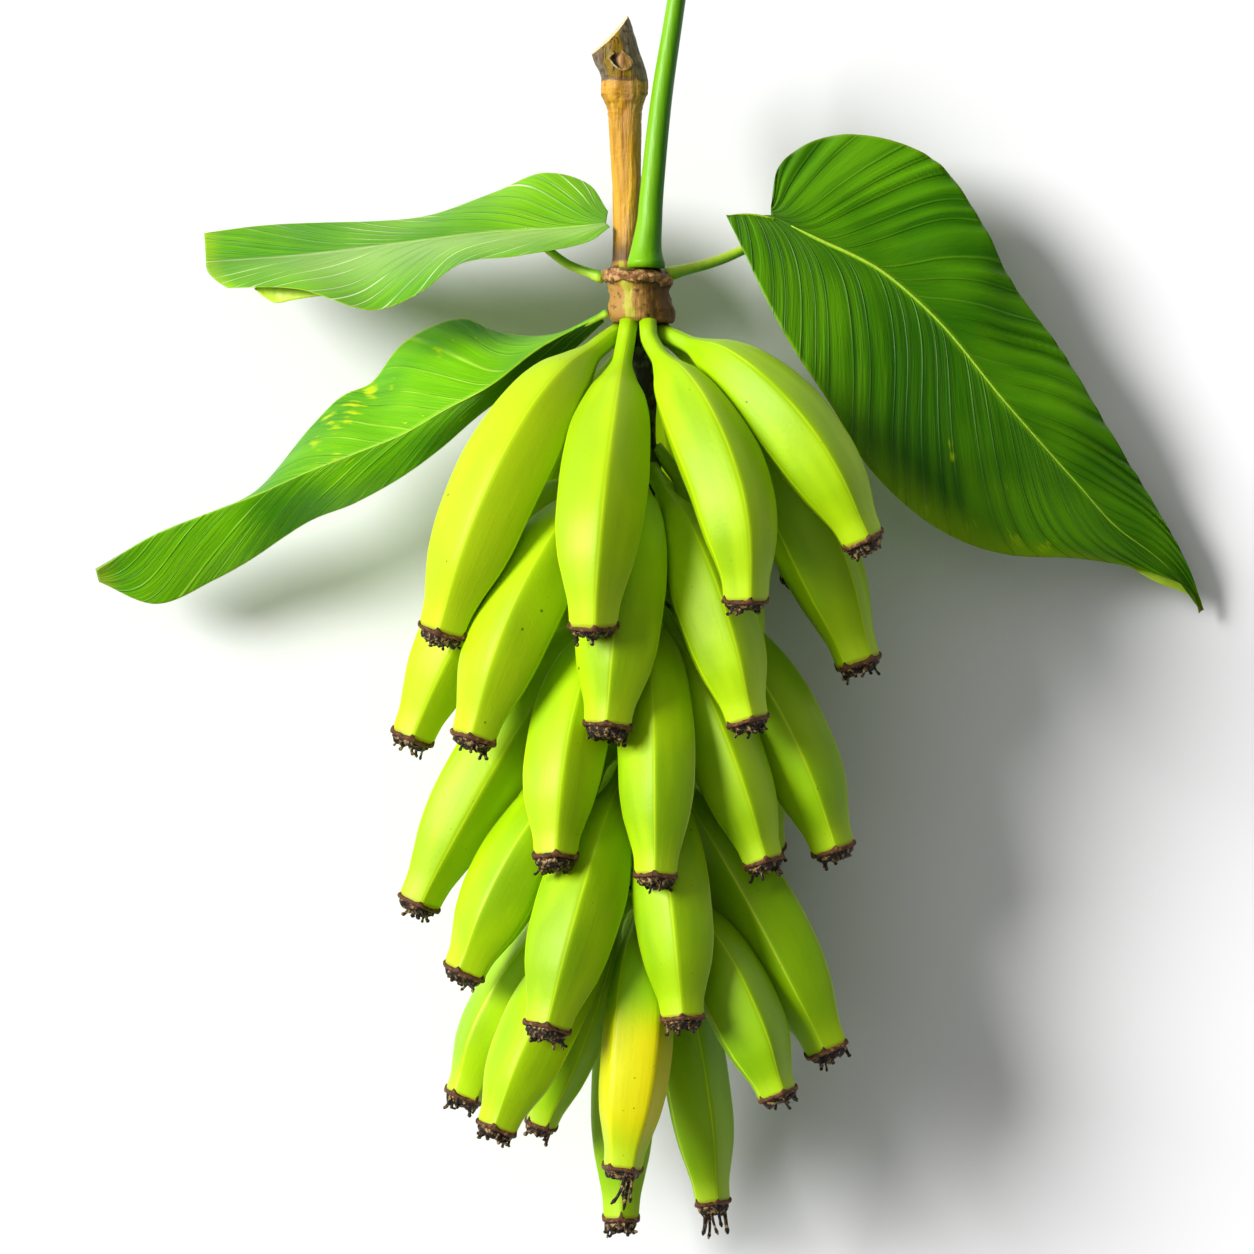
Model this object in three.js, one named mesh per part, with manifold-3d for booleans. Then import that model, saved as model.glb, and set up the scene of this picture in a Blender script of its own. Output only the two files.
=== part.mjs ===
// A bunch of green cooking bananas with three leaves, cut from the plant and laid on its back.
// Millimetres, +Z up. The stalk runs along Y with its cut stub at +Y and the last hand at -Y.
// Heights in the layout are measured from the stalk's axis. The group is then lifted so that
// the bunch rests on z = 0, with the middle of its box over the origin.

import * as THREE from 'three';
import { mergeVertices } from 'three/addons/utils/BufferGeometryUtils.js';
import Module from 'manifold-3d';

const wasm = await Module();
wasm.setup();

// Driving dimensions of the bunch
const EYE_HEIGHT = 2400; // the layout's x and y are as seen from this far above the axis
const EYE_X = -7.5; // the eye stands a little left of the stalk
const AXIS_HEIGHT = 98; // the stalk's axis above the surface that the bunch lies on
const GAP = 0.6; // clearance between fruits that press on each other

// A fruit: five ridges, half its width at stations along its length
const RIDGES = 5;
const FACE_SHARE = 0.91; // the middle of a face against the ridge
const STATIONS = [
  [0, 0.21], [0.09, 0.23], [0.17, 0.45], [0.26, 0.73], [0.38, 0.9], [0.54, 1],
  [0.7, 0.97], [0.85, 0.74], [0.95, 0.56], [1, 0.52],
];
const PRESS_SAMPLES = 44; // spheres that stand for a fruit where another presses on it
const LEAST_SHARE = 0.3; // a pressed face stays at least this far from the fruit's middle
const LINE_DIVISIONS = 400; // how finely a fruit's line is measured
const STEM_LEAN = 1 / 3; // how far a stem that drops leaves the stalk, against its drop

// The withered flower at a fruit's tip, against the tip's radius and in millimetres
const RIM_FLARE = 1.12;
const RIM_HEIGHT = 1.6;
const RIM_POINT = 1.1;
const STUB_REACH = 0.72;
const STUB_NECK = 0.34;
const STUB_LENGTH = 6.5;
const STUB_SPREAD = 2.5;

// Each hand of fruits: its place along the stalk, the radius where its fruits start, and how
// far its upper and lower row are apart
const HANDS = {
  1: { y: 145.5, radius: 15, stagger: 1.5 },
  2: { y: 84.5, radius: 11, stagger: 9 },
  3: { y: 18.5, radius: 10.5, stagger: 9 },
  4: { y: -59, radius: 10, stagger: 9 },
  5: { y: -128, radius: 9.5, stagger: 9 },
};

// The fruits: hand, turn, bend, tip and width. turn is the angle round the stalk, from the top
// towards +X. A fruit leaves the stalk there, bends at bend and ends at tip. low puts it in its
// hand's lower row, drop makes its stem run down along the stalk first, and roll turns its
// ridges round its line, in degrees.
const FRUITS = [
  [1, -73, [-65, 112, 62], [-99.5, -2.5, 50], 46, { roll: -16 }],
  [1, -30, [-24, 93, 96], [-24.5, 0, 86], 46, { drop: 26, roll: -22 }],
  [1, 12, [54, 127, 86], [51, 13, 78], 43, { drop: 12, roll: 16 }],
  [1, 97, [71.5, 93.5, 6], [108.5, -18, 6], 44, { low: true, roll: -9 }],
  [1, 62, [73, 122, 60], [110, 43, 54], 42, { roll: 17 }],
  [1, 127, [54, 121, -45], [79, 26, -75], 42],
  [1, 167, [24, 113.5, -60], [31, 11, -90], 43],
  [1, 207, [-22, 113.5, -60], [-25, 7.5, -90], 43],
  [1, 247, [-53.5, 116, -42], [-83.5, 13.5, -62], 42],
  [2, -95, [-71, 53.5, 18], [-115, -55.5, 14], 42, { roll: 30 }],
  [2, -55, [-52.5, 48.5, 48], [-84, -56, 57], 44, { low: true, roll: -6 }],
  [2, -10, [-7, 36, 58], [-17, -50, 70], 45, { roll: 29 }],
  [2, 35, [30.5, 33.5, 50], [52.5, -47.5, 56], 41, { low: true, roll: 34 }],
  [2, 85, [43, 44, -12], [52, -24, -42], 35],
  [2, 140, [36.5, 43.5, -52], [31.5, -54, -90], 41, { low: true }],
  [2, 187, [-3.5, 43.5, -55], [-7, -55.5, -91], 42],
  [2, 230, [-41, 43.5, -42], [-56, -49, -84], 42, { low: true }],
  [3, -95, [-66, -36.5, 15], [-112, -138, 15], 42, { roll: 33 }],
  [3, -45, [-41, -26.5, 44], [-43.5, -115.5, 63.5], 42, { low: true, roll: 16 }],
  [3, 0, [10.5, -29, 48], [7, -125, 64], 40, { roll: 8 }],
  [3, 45, [31.5, -31.5, 24], [60.5, -118, 36], 39, { low: true, roll: 4 }],
  [3, 90, [60, -6.5, 8], [95.5, -111.5, 10], 43, { roll: 35 }],
  [3, 135, [45, -31.5, -42], [61.5, -111.5, -76], 41, { low: true }],
  [3, 180, [3, -31.5, -50], [10.5, -123.5, -90], 42],
  [3, 225, [-42, -31.5, -42], [-66, -116.5, -76], 42, { low: true }],
  [4, -90, [-51, -86.5, 34], [-88.5, -173, 36], 42, { roll: -17 }],
  [4, -45, [-25, -111.5, 46], [-47.5, -200.5, 60], 45, { low: true, roll: -26 }],
  [4, 15, [15, -111.5, 42], [20.5, -196, 54], 41, { roll: 13 }],
  [4, 75, [53, -119, 4], [93, -211.5, 8], 42, { low: true, roll: 5 }],
  [4, 130, [42, -111.5, -40], [53, -188, -82], 40],
  [4, 180, [4, -111.5, -50], [5, -198, -90], 42, { low: true }],
  [4, 230, [-38.5, -111.5, -40], [-60, -191.5, -80], 41],
  [5, 60, [35, -149, 26], [67.5, -234, 32], 39, { roll: 15 }],
  [5, -85, [-57, -154, -4], [-89, -235, 0], 39, { roll: 31 }],
  [5, -50, [-41, -169, 30], [-72.5, -251, 38], 40, { low: true, roll: -3 }],
  [5, -120, [-22, -166.5, -12], [-51, -249, -14], 32, { low: true }],
  [5, 0, [2, -186.5, 37], [-10, -271, 44], 37.5, { roll: -27 }],
  [5, 120, [23, -191.5, -12], [35, -288, -5], 35, { low: true, roll: -18 }],
  [5, 180, [-10, -191.5, -52], [-10.5, -296.5, -38], 35, { roll: -11 }],
].map(([hand, turn, bend, tip, width, special], i) => {
  const name = `banana_${String(i + 1).padStart(2, '0')}`;
  return { name, hand, turn, bend, tip, width, ...special };
});
const RIPER = 'banana_37'; // the one fruit that turns yellow

// The stalk from its cut stub down: x, y, height of its middle, radius, and how much the ring
// leans, as the rise in y of its +X side against its middle
const STALK_SIDES = 14;
const STALK_RINGS = [
  { at: [-16.5, 297, -5], radius: 9.2, lean: 9.6 },
  { at: [-13.3, 286, -5], radius: 11.6, lean: 2 },
  { at: [-9.3, 275, -5], radius: 11.6, lean: 0 },
  { at: [-9.3, 267, -5], radius: 11.4, lean: 0 },
  { at: [-8.8, 260, -5], radius: 8.9, lean: 0 },
  { at: [-8.3, 243, -5], radius: 7.8, lean: 0 },
  { at: [-7.3, 222, -5], radius: 7.2, lean: 0 },
  { at: [-7.8, 196, -5], radius: 6.6, lean: 0 },
  { at: [-7.5, 180.6, -5], radius: 8, lean: 0 },
  { at: [-3.5, 178, -1], radius: 15.8, lean: 0 },
  { at: [-2.5, 173, 0], radius: 16.4, lean: 0 },
  { at: [-1.5, 166, 0], radius: 15, lean: 0 },
  { at: [-1, 158, 0], radius: 16.6, lean: 0 },
  { at: [0, 152.5, 0], radius: 15.6, lean: 0 },
  { at: [0, 150.5, 0], radius: 9.5, lean: 0 },
  { at: [0, 110, 0], radius: 7.5, lean: 0 },
  { at: [0, 84, 0], radius: 6.6, lean: 0 },
  { at: [0, 18, 0], radius: 6, lean: 0 },
  { at: [0, -59, 0], radius: 5.4, lean: 0 },
  { at: [0, -128, 0], radius: 4.6, lean: 0 },
  { at: [0, -150, -2], radius: 2.6, lean: 0 },
];
const BARK_WAVE = 0.05; // how far the stalk's outline wanders from round
const BARK_LOBES = 3;
const BARK_TWIST = 2; // radians from one ring to the next

// The green stem beside the stub, from its foot up
const STEM_SIDES = 12;
const STEM_RINGS = [
  { at: [2, 181.2, 12], radius: 9.4, lean: 0 },
  { at: [2, 187, 11], radius: 7.9, lean: 0 },
  { at: [3.8, 203, 9], radius: 6.1, lean: 0 },
  { at: [4.6, 214, 8], radius: 6, lean: 0 },
  { at: [9.5, 262, 6], radius: 5.4, lean: 0 },
  { at: [15.5, 302, 5], radius: 4.8, lean: 0 },
  { at: [19.2, 326, 5], radius: 4.5, lean: 0 },
];

// The leaves: points along the midrib from the base to the tip, and along both margins
const LEAF_THICKNESS = 1;
const LEAF_STATIONS = 18;
const LEAF_COLUMNS = 3; // on each side of the midrib
const LEAF_RIPPLES = 4; // waves from the base to the tip
const PETIOLE_STEPS = 8;
const PETIOLE_QUARTER = 4; // sides to a quarter turn
const LEAVES = [
  {
    name: 'leaf_upper_left',
    colour: 0x3f9e14,
    midrib: [
      [-18, 202, -8], [-41, 199.5, -14], [-76, 197.5, -18], [-119, 192.5, -22],
      [-171, 186, -30], [-218, 182.5, -42],
    ],
    upper: [
      [-17, 208, -20], [-27.5, 222, -38], [-50, 227, -48], [-74, 217.5, -52],
      [-104, 206.5, -52], [-133, 203, -54], [-182, 201.5, -56], [-219, 197, -56],
    ],
    lower: [
      [-16, 200, 2], [-27.5, 192.5, 12], [-62, 185.5, 18], [-90, 182, 20], [-112, 166.5, 24],
      [-135, 158.5, 22], [-172, 169, 10], [-207, 169.5, -14],
    ],
    wave: 1.6,
    petiole: { from: [-22, 175.5, -2], by: [-38, 182, -9], to: [-58, 198.5, -16.5], radius: 2.4 },
  },
  {
    name: 'leaf_lower_left',
    colour: 0x4fae1a,
    midrib: [
      [-20, 155.5, 3], [-50, 140.5, 10], [-76.5, 120.5, 22], [-98, 109, 16], [-119.5, 96.5, 4],
      [-139, 88.5, -4], [-166, 78, -14], [-193, 66, -24], [-214, 58, -32], [-246, 45, -42],
      [-273, 28, -52],
    ],
    upper: [
      [-19, 158, 0], [-44.5, 146.5, -10], [-71.5, 147.5, -22], [-91, 154.5, -30],
      [-119.5, 142, -36], [-134, 122, -38], [-162.5, 104.5, -42], [-194, 72, -46],
      [-214, 60, -50], [-246, 47, -58], [-273.5, 30, -58],
    ],
    lower: [
      [-19, 152.5, 0], [-41, 133, -2], [-60.5, 120.5, 2], [-80.5, 106.5, 8], [-101.5, 88.5, 0],
      [-121.5, 74, -14], [-144.5, 61.5, -26], [-166, 53, -38], [-196.5, 33, -50],
      [-214, 23.5, -56], [-243, 11.5, -62], [-271.5, 22.5, -60],
    ],
    wave: 1.4,
    petiole: { from: [-18.6, 156.5, 2], by: [-26, 152.5, 3], to: [-36, 147.5, 5.6], radius: 2.2 },
  },
  {
    name: 'leaf_right',
    colour: 0x2f7f12,
    midrib: [
      [64.5, 206, -19], [87, 194, -22], [103.5, 186.5, -24], [120, 177.5, -26],
      [148.5, 152.5, -30], [181.5, 112.5, -38], [219.5, 69.5, -52], [236, 51, -60],
      [261, 31.5, -72], [279.5, 8, -84],
    ],
    upper: [
      [64.5, 211, -28], [69.5, 232, -40], [92, 245, -46], [122, 244, -46], [148.5, 232, -44],
      [170, 202, -44], [185, 172.5, -46], [209.5, 139, -50], [233, 99.5, -58], [256, 62, -68],
      [272.5, 31.5, -78], [281, 8.5, -85],
    ],
    lower: [
      [42, 206, -11], [52, 185.5, -2], [62, 164, 2], [73.5, 142.5, 0], [95.5, 109.5, -6],
      [113.5, 79.5, -14], [145, 51, -28], [178, 37, -40], [219.5, 34, -54], [248, 29, -68],
      [274.5, 18, -80], [278.5, 6.8, -86],
    ],
    wave: 1.8,
    petiole: { from: [15.2, 177, -2], by: [40, 184, -14], to: [74, 200.5, -22.5], radius: 2.8 },
  },
];

const COLOURS = { fruit: 0x9ccf1c, riper: 0xd6d61a, bark: 0x8a6a35, stem: 0xa6cf4a };

// Returns the real point of a place that is seen at x, y from the eye, at a height over the axis.
function seen([x, y, height]) {
  const nearer = (EYE_HEIGHT - height) / EYE_HEIGHT;
  return new THREE.Vector3(EYE_X + (x - EYE_X) * nearer, y * nearer, height);
}

// Returns the volume inside a closed mesh, negative where its faces point in.
function volumeOf(positions, indices) {
  const [a, b, c] = [new THREE.Vector3(), new THREE.Vector3(), new THREE.Vector3()];
  let sum = 0;
  for (let i = 0; i < indices.length; i += 3) {
    a.fromArray(positions, indices[i] * 3);
    b.fromArray(positions, indices[i + 1] * 3);
    c.fromArray(positions, indices[i + 2] * 3);
    sum += a.dot(b.cross(c));
  }
  return sum / 6;
}

// Returns a geometry from points and faces, turned so that its faces point out.
function closedGeometry(points, faces) {
  const positions = points.flatMap((p) => [p.x, p.y, p.z]);
  const indices = faces.flat();
  if (volumeOf(positions, indices) < 0) indices.reverse();
  const geometry = new THREE.BufferGeometry();
  geometry.setAttribute('position', new THREE.Float32BufferAttribute(positions, 3));
  geometry.setIndex(indices);
  return geometry;
}

// Returns a closed body through rings of points, with a fan over each end.
function bodyThroughRings(rings, firstMiddle, lastMiddle) {
  const sides = rings[0].length;
  const points = [...rings.flat(), firstMiddle, lastMiddle];
  const faces = [];
  for (let r = 0; r + 1 < rings.length; r += 1) {
    for (let k = 0; k < sides; k += 1) {
      const a = r * sides + k;
      const b = r * sides + ((k + 1) % sides);
      faces.push([a, b, b + sides], [a, b + sides, a + sides]);
    }
  }
  const last = (rings.length - 1) * sides;
  for (let k = 0; k < sides; k += 1) {
    const next = (k + 1) % sides;
    faces.push([rings.length * sides, next, k]);
    faces.push([rings.length * sides + 1, last + k, last + next]);
  }
  return closedGeometry(points, faces);
}

// Returns a value between the entries of a list of [place, value] pairs.
function between(pairs, place) {
  const next = pairs.findIndex((pair) => pair[0] >= place);
  if (next <= 0) return pairs[Math.max(next, 0)][1];
  const [p0, v0] = pairs[next - 1];
  const [p1, v1] = pairs[next];
  return THREE.MathUtils.mapLinear(place, p0, p1, v0, v1);
}

// A fruit's line from the stalk to its tip, and the directions across it.
function fruitLine(fruit) {
  const hand = HANDS[fruit.hand];
  const turn = THREE.MathUtils.degToRad(fruit.turn);
  const radial = new THREE.Vector3(Math.sin(turn), 0, Math.cos(turn));
  const root = radial.clone().multiplyScalar(hand.radius);
  root.y = hand.y - (fruit.low ? hand.stagger : 0);
  const bend = seen(fruit.bend);
  const tip = seen(fruit.tip);
  const leave = fruit.drop
    ? root.clone().addScaledVector(radial, fruit.drop * STEM_LEAN).add(new THREE.Vector3(0, -fruit.drop, 0))
    : root.clone().lerp(bend, 2 / 3);
  const curve = new THREE.CubicBezierCurve3(root, leave, tip.clone().lerp(bend, 2 / 3), tip);
  curve.arcLengthDivisions = LINE_DIVISIONS;
  const across = bend.clone().sub(root).cross(tip.clone().sub(root)).normalize();
  return { fruit, curve, across, length: curve.getLength() };
}

// The spheres that stand for a fruit where another one presses on it.
function pressSpheres(line) {
  return Array.from({ length: PRESS_SAMPLES }, (_, i) => {
    const along = i / (PRESS_SAMPLES - 1);
    const radius = (between(STATIONS, along) * line.fruit.width) / 2;
    return { middle: line.curve.getPointAt(along), radius };
  });
}

// Returns how far a point may stand from the middle of its ring, at most its wanted distance,
// before it enters a neighbour.
function roomTowards(direction, middle, radius, wanted, neighbours) {
  let room = wanted;
  for (const { middle: other, radius: otherRadius } of neighbours) {
    const apart = other.clone().sub(middle);
    const facing = apart.dot(direction);
    if (facing <= 0) continue;
    const plane = (apart.lengthSq() + radius ** 2 - otherRadius ** 2) / (2 * facing);
    room = Math.min(room, plane - GAP / 2);
  }
  return Math.max(room, radius * LEAST_SHARE);
}

// One fruit: pressed flat where it meets its neighbours, with its withered flower on its tip.
function fruitGeometry(line, neighbours) {
  const { fruit, curve, across } = line;
  const sides = RIDGES * 2;
  const rings = [];
  const frameAt = (along) => {
    const forward = curve.getTangentAt(along).normalize();
    const outward = across.clone().cross(forward).normalize();
    const sideways = outward.clone().cross(forward);
    return { middle: curve.getPointAt(along), forward, outward, sideways };
  };
  const roll = THREE.MathUtils.degToRad(fruit.roll ?? 0);
  const directionAt = (frame, k) => {
    const angle = (k * Math.PI * 2) / sides + roll;
    return frame.outward.clone().multiplyScalar(Math.cos(angle))
      .addScaledVector(frame.sideways, Math.sin(angle));
  };
  for (const [along, share] of STATIONS) {
    const frame = frameAt(along);
    const radius = (share * fruit.width) / 2;
    rings.push(Array.from({ length: sides }, (_, k) => {
      const direction = directionAt(frame, k);
      const wanted = radius * (k % 2 ? FACE_SHARE : 1);
      const room = roomTowards(direction, frame.middle, radius, wanted, neighbours);
      return frame.middle.clone().addScaledVector(direction, room);
    }));
  }
  const end = frameAt(1);
  const tipRadius = (STATIONS.at(-1)[1] * fruit.width) / 2;
  const flowerRing = (evenRadius, oddRadius, evenRise, oddRise) => Array.from({ length: sides }, (_, k) => {
    const odd = k % 2;
    const reach = directionAt(end, k).multiplyScalar(tipRadius * (odd ? oddRadius : evenRadius))
      .addScaledVector(end.forward, odd ? oddRise : evenRise);
    const direction = reach.clone().normalize();
    const room = roomTowards(direction, end.middle, tipRadius, reach.length(), neighbours);
    return end.middle.clone().addScaledVector(direction, room);
  });
  rings.push(flowerRing(RIM_FLARE, RIM_FLARE * FACE_SHARE, RIM_HEIGHT - RIM_POINT, RIM_HEIGHT));
  rings.push(flowerRing(STUB_REACH, STUB_NECK, STUB_LENGTH, RIM_HEIGHT + STUB_SPREAD));
  const flowerMiddle = end.middle.clone().addScaledVector(end.forward, RIM_HEIGHT);
  rings.flat().forEach((point) => { point.z = Math.max(point.z, -AXIS_HEIGHT); });
  return bodyThroughRings(rings, curve.getPointAt(0), flowerMiddle);
}

// A body of leaning rings along Y, with an outline that wanders a little from round.
function leaningRings(rings, sides, wave) {
  const loops = rings.map(({ at, radius, lean }, r) => Array.from({ length: sides }, (_, k) => {
    const angle = (k * Math.PI * 2) / sides;
    const wander = 1 + wave * Math.sin(BARK_LOBES * angle + r * BARK_TWIST);
    const x = Math.cos(angle) * radius * wander;
    const z = Math.sin(angle) * radius * wander;
    return new THREE.Vector3(at[0] + x, at[1] + (lean * x) / radius, at[2] + z);
  }));
  const first = new THREE.Vector3(...rings[0].at);
  const last = new THREE.Vector3(...rings.at(-1).at);
  return bodyThroughRings(loops, first, last);
}

// A leaf's blade: three curves from base to tip, waved along its side veins, of even thickness.
function bladeGeometry(leaf) {
  const curveOf = (list) => new THREE.CatmullRomCurve3(list.map(seen), false, 'centripetal');
  const midrib = curveOf(leaf.midrib);
  const margins = [curveOf(leaf.upper), curveOf(leaf.lower)];
  const width = LEAF_COLUMNS * 2 + 1;
  const top = [];
  for (let s = 0; s <= LEAF_STATIONS; s += 1) {
    const along = s / LEAF_STATIONS;
    const middle = midrib.getPointAt(along);
    for (let c = -LEAF_COLUMNS; c <= LEAF_COLUMNS; c += 1) {
      const out = Math.abs(c) / LEAF_COLUMNS;
      const edge = margins[c < 0 ? 0 : 1].getPointAt(along);
      const point = middle.clone().lerp(edge, out);
      const ripple = leaf.wave * out * Math.sin(along * LEAF_RIPPLES * 2 * Math.PI + c);
      top.push(point.add(new THREE.Vector3(0, 0, ripple)));
    }
  }
  const under = top.map((p) => p.clone().add(new THREE.Vector3(0, 0, -LEAF_THICKNESS)));
  const count = top.length;
  const faces = [];
  const quad = (a, b, c, d) => faces.push([a, b, c], [a, c, d]);
  for (let s = 0; s < LEAF_STATIONS; s += 1) {
    for (let c = 0; c + 1 < width; c += 1) {
      const a = s * width + c;
      quad(a, a + 1, a + 1 + width, a + width);
      faces.push([count + a, count + a + 1 + width, count + a + 1]);
      faces.push([count + a, count + a + width, count + a + 1 + width]);
    }
  }
  const wall = (a, b) => quad(b, a, count + a, count + b);
  for (let s = 0; s < LEAF_STATIONS; s += 1) {
    wall((s + 1) * width, s * width);
    wall(s * width + width - 1, (s + 1) * width + width - 1);
  }
  for (let c = 0; c + 1 < width; c += 1) {
    wall(c, c + 1);
    wall(LEAF_STATIONS * width + c + 1, LEAF_STATIONS * width + c);
  }
  return closedGeometry([...top, ...under], faces);
}

// A leaf's stalk, which runs from the stem into the blade.
function petioleGeometry({ from, by, to, radius }) {
  const round = new THREE.Shape().absarc(0, 0, radius, 0, Math.PI * 2);
  const path = new THREE.QuadraticBezierCurve3(seen(from), seen(by), seen(to));
  return new THREE.ExtrudeGeometry(round, {
    extrudePath: path,
    steps: PETIOLE_STEPS,
    curveSegments: PETIOLE_QUARTER,
  });
}

// Returns a closed geometry as a solid.
function solidOf(geometry) {
  const bare = new THREE.BufferGeometry();
  bare.setAttribute('position', geometry.getAttribute('position').clone());
  if (geometry.index) bare.setIndex(geometry.index.clone());
  const merged = mergeVertices(bare, 1e-4);
  const vertProperties = new Float32Array(merged.getAttribute('position').array);
  const triVerts = new Uint32Array(merged.index.array);
  return new wasm.Manifold(new wasm.Mesh({ numProp: 3, vertProperties, triVerts }));
}

// Returns a solid as a geometry.
function geometryOf(solid) {
  const { vertProperties, triVerts } = solid.getMesh();
  const geometry = new THREE.BufferGeometry();
  geometry.setAttribute('position', new THREE.BufferAttribute(vertProperties, 3));
  geometry.setIndex(new THREE.BufferAttribute(triVerts, 1));
  return geometry;
}

function leafGeometry(leaf) {
  return geometryOf(solidOf(bladeGeometry(leaf)).add(solidOf(petioleGeometry(leaf.petiole))));
}

const group = new THREE.Group();

function addPiece(name, geometry, color, roughness) {
  geometry.computeVertexNormals();
  const material = new THREE.MeshStandardMaterial({ color, roughness, metalness: 0 });
  const mesh = new THREE.Mesh(geometry, material);
  mesh.name = name;
  group.add(mesh);
}

addPiece('stalk', leaningRings(STALK_RINGS, STALK_SIDES, BARK_WAVE), COLOURS.bark, 0.85);
addPiece('leaf_stem', leaningRings(STEM_RINGS, STEM_SIDES, 0), COLOURS.stem, 0.45);
for (const leaf of LEAVES) addPiece(leaf.name, leafGeometry(leaf), leaf.colour, 0.4);

const lines = FRUITS.map(fruitLine);
const spheres = lines.map(pressSpheres);
lines.forEach((line, i) => {
  const neighbours = spheres.filter((_, k) => k !== i).flat();
  const colour = line.fruit.name === RIPER ? COLOURS.riper : COLOURS.fruit;
  addPiece(line.fruit.name, fruitGeometry(line, neighbours), colour, 0.42);
});

const box = new THREE.Box3().setFromObject(group);
const middle = box.getCenter(new THREE.Vector3());
group.position.set(-middle.x, -middle.y, -box.min.z);

export default group;
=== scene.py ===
"""Dresses a bunch of green cooking bananas that lies on its back.

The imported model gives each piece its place. This file rebuilds the pieces from the same layout,
finer, and gives each of them its finish. Layout values are in millimetres, objects in metres.
"""
from __future__ import annotations

import logging
import math
from dataclasses import dataclass
from enum import Enum

import bmesh
import bpy
import numpy as np
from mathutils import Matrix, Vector, noise


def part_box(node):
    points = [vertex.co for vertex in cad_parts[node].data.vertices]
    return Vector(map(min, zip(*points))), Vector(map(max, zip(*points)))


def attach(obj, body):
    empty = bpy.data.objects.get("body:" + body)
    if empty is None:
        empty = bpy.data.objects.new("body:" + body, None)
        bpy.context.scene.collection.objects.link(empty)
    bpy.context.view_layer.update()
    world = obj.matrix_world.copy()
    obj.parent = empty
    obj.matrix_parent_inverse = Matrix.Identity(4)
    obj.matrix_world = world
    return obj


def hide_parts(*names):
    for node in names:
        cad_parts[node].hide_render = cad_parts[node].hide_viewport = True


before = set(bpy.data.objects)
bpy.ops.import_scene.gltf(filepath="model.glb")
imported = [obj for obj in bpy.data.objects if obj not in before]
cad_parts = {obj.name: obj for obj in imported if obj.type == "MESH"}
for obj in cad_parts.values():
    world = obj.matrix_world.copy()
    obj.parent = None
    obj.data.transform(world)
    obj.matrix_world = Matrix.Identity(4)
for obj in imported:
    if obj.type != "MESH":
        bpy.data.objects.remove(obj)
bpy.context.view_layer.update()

Array = np.ndarray
Point = tuple[float, float, float]
MM = 0.001
RIDGES = 5
log = logging.getLogger("bananas")


class Slot(Enum):
    """The record's material slots."""

    BARK = "bark"
    STEM = "green_stem"
    LEAF = "leaf"
    PEEL = "green_peel"
    RIPENING = "ripening_peel"


@dataclass(frozen=True)
class Layout:
    """Carries points of the layout into the frame.

    The layout's x and y are as seen from an eye straight above, and its heights are measured
    from the stalk's axis.
    """

    eye_height: float = 2400.0
    eye_x: float = -7.5
    axis_height: float = 98.0
    seen_width: float = 627.0
    stem_reach: tuple[float, float] = (23.7, 326.0)

    def seen(self, points: Array | tuple[Point, ...]) -> Array:
        """Returns the real points of places that are seen from the eye.

        Args:
            points: rows of x, y and height.

        Returns:
            Rows of the same length, corrected for their nearness to the eye.
        """
        points = np.asarray(points, dtype=float)
        nearer = ((self.eye_height - points[..., 2]) / self.eye_height)[..., None]
        shift = np.array([self.eye_x, 0.0])
        flat = shift + (points[..., :2] - shift) * nearer
        return np.concatenate([flat, points[..., 2:]], axis=-1)

    def offset(self) -> Array:
        """Returns how far the frame's origin is from the layout's, from the green stem's box."""
        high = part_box("leaf_stem")[1]
        reach = self.stem_reach
        return np.array([high[0] / MM - reach[0], high[1] / MM - reach[1], self.axis_height])

    def place(self, points: Array) -> Array:
        """Returns layout points as points of the frame, in metres, none below the surface."""
        placed = (np.asarray(points, dtype=float) + self.offset()) * MM
        placed[..., 2] = np.maximum(placed[..., 2], 0.0)
        return placed


LAYOUT = Layout()


def unit(vectors: Array) -> Array:
    """Returns vectors scaled to length one."""
    return vectors / np.linalg.norm(vectors, axis=-1, keepdims=True)


def bell(gap: Array) -> Array:
    """Returns one where a gap is zero, falling softly to zero past one."""
    return np.exp(-gap ** 2)


def turns(sides: int) -> Array:
    """Returns even angles round a full turn."""
    return np.linspace(0, 2 * math.pi, sides, endpoint=False)


def ways_round(across: Array, over: Array, sides: int) -> Array:
    """Returns directions round each point of a line.

    Args:
        across: the direction of the first side at each point.
        over: the direction a quarter turn on.
        sides: how many directions there are.

    Returns:
        One ring of directions for each point.
    """
    angles = turns(sides)[None, :, None]
    return across[..., None, :] * np.cos(angles) + over[..., None, :] * np.sin(angles)


def smooth_curve(places: Array, values: Array, wanted: Array) -> Array:
    """Returns values on a smooth curve through given ones, which keeps their rises and falls.

    Args:
        places: rising places of the given values.
        values: the value at each place.
        wanted: where values are asked for.

    Returns:
        The value at each wanted place.
    """
    places, values = np.asarray(places, dtype=float), np.asarray(values, dtype=float)
    steps = np.diff(places)
    slopes = np.diff(values) / steps
    tangents = np.zeros_like(values)
    same_way = slopes[:-1] * slopes[1:] > 0
    mean = 2 * slopes[:-1] * slopes[1:] / np.where(same_way, slopes[:-1] + slopes[1:], 1)
    tangents[1:-1] = np.where(same_way, mean, 0)
    tangents[0], tangents[-1] = slopes[0], slopes[-1]
    k = np.clip(np.searchsorted(places, wanted) - 1, 0, len(steps) - 1)
    t = (wanted - places[k]) / steps[k]
    start = (1 - t) ** 2 * t * steps[k] * tangents[k]
    end = -(1 - t) * t * t * steps[k] * tangents[k + 1]
    return values[k] + (values[k + 1] - values[k]) * (3 - 2 * t) * t * t + start + end


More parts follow.
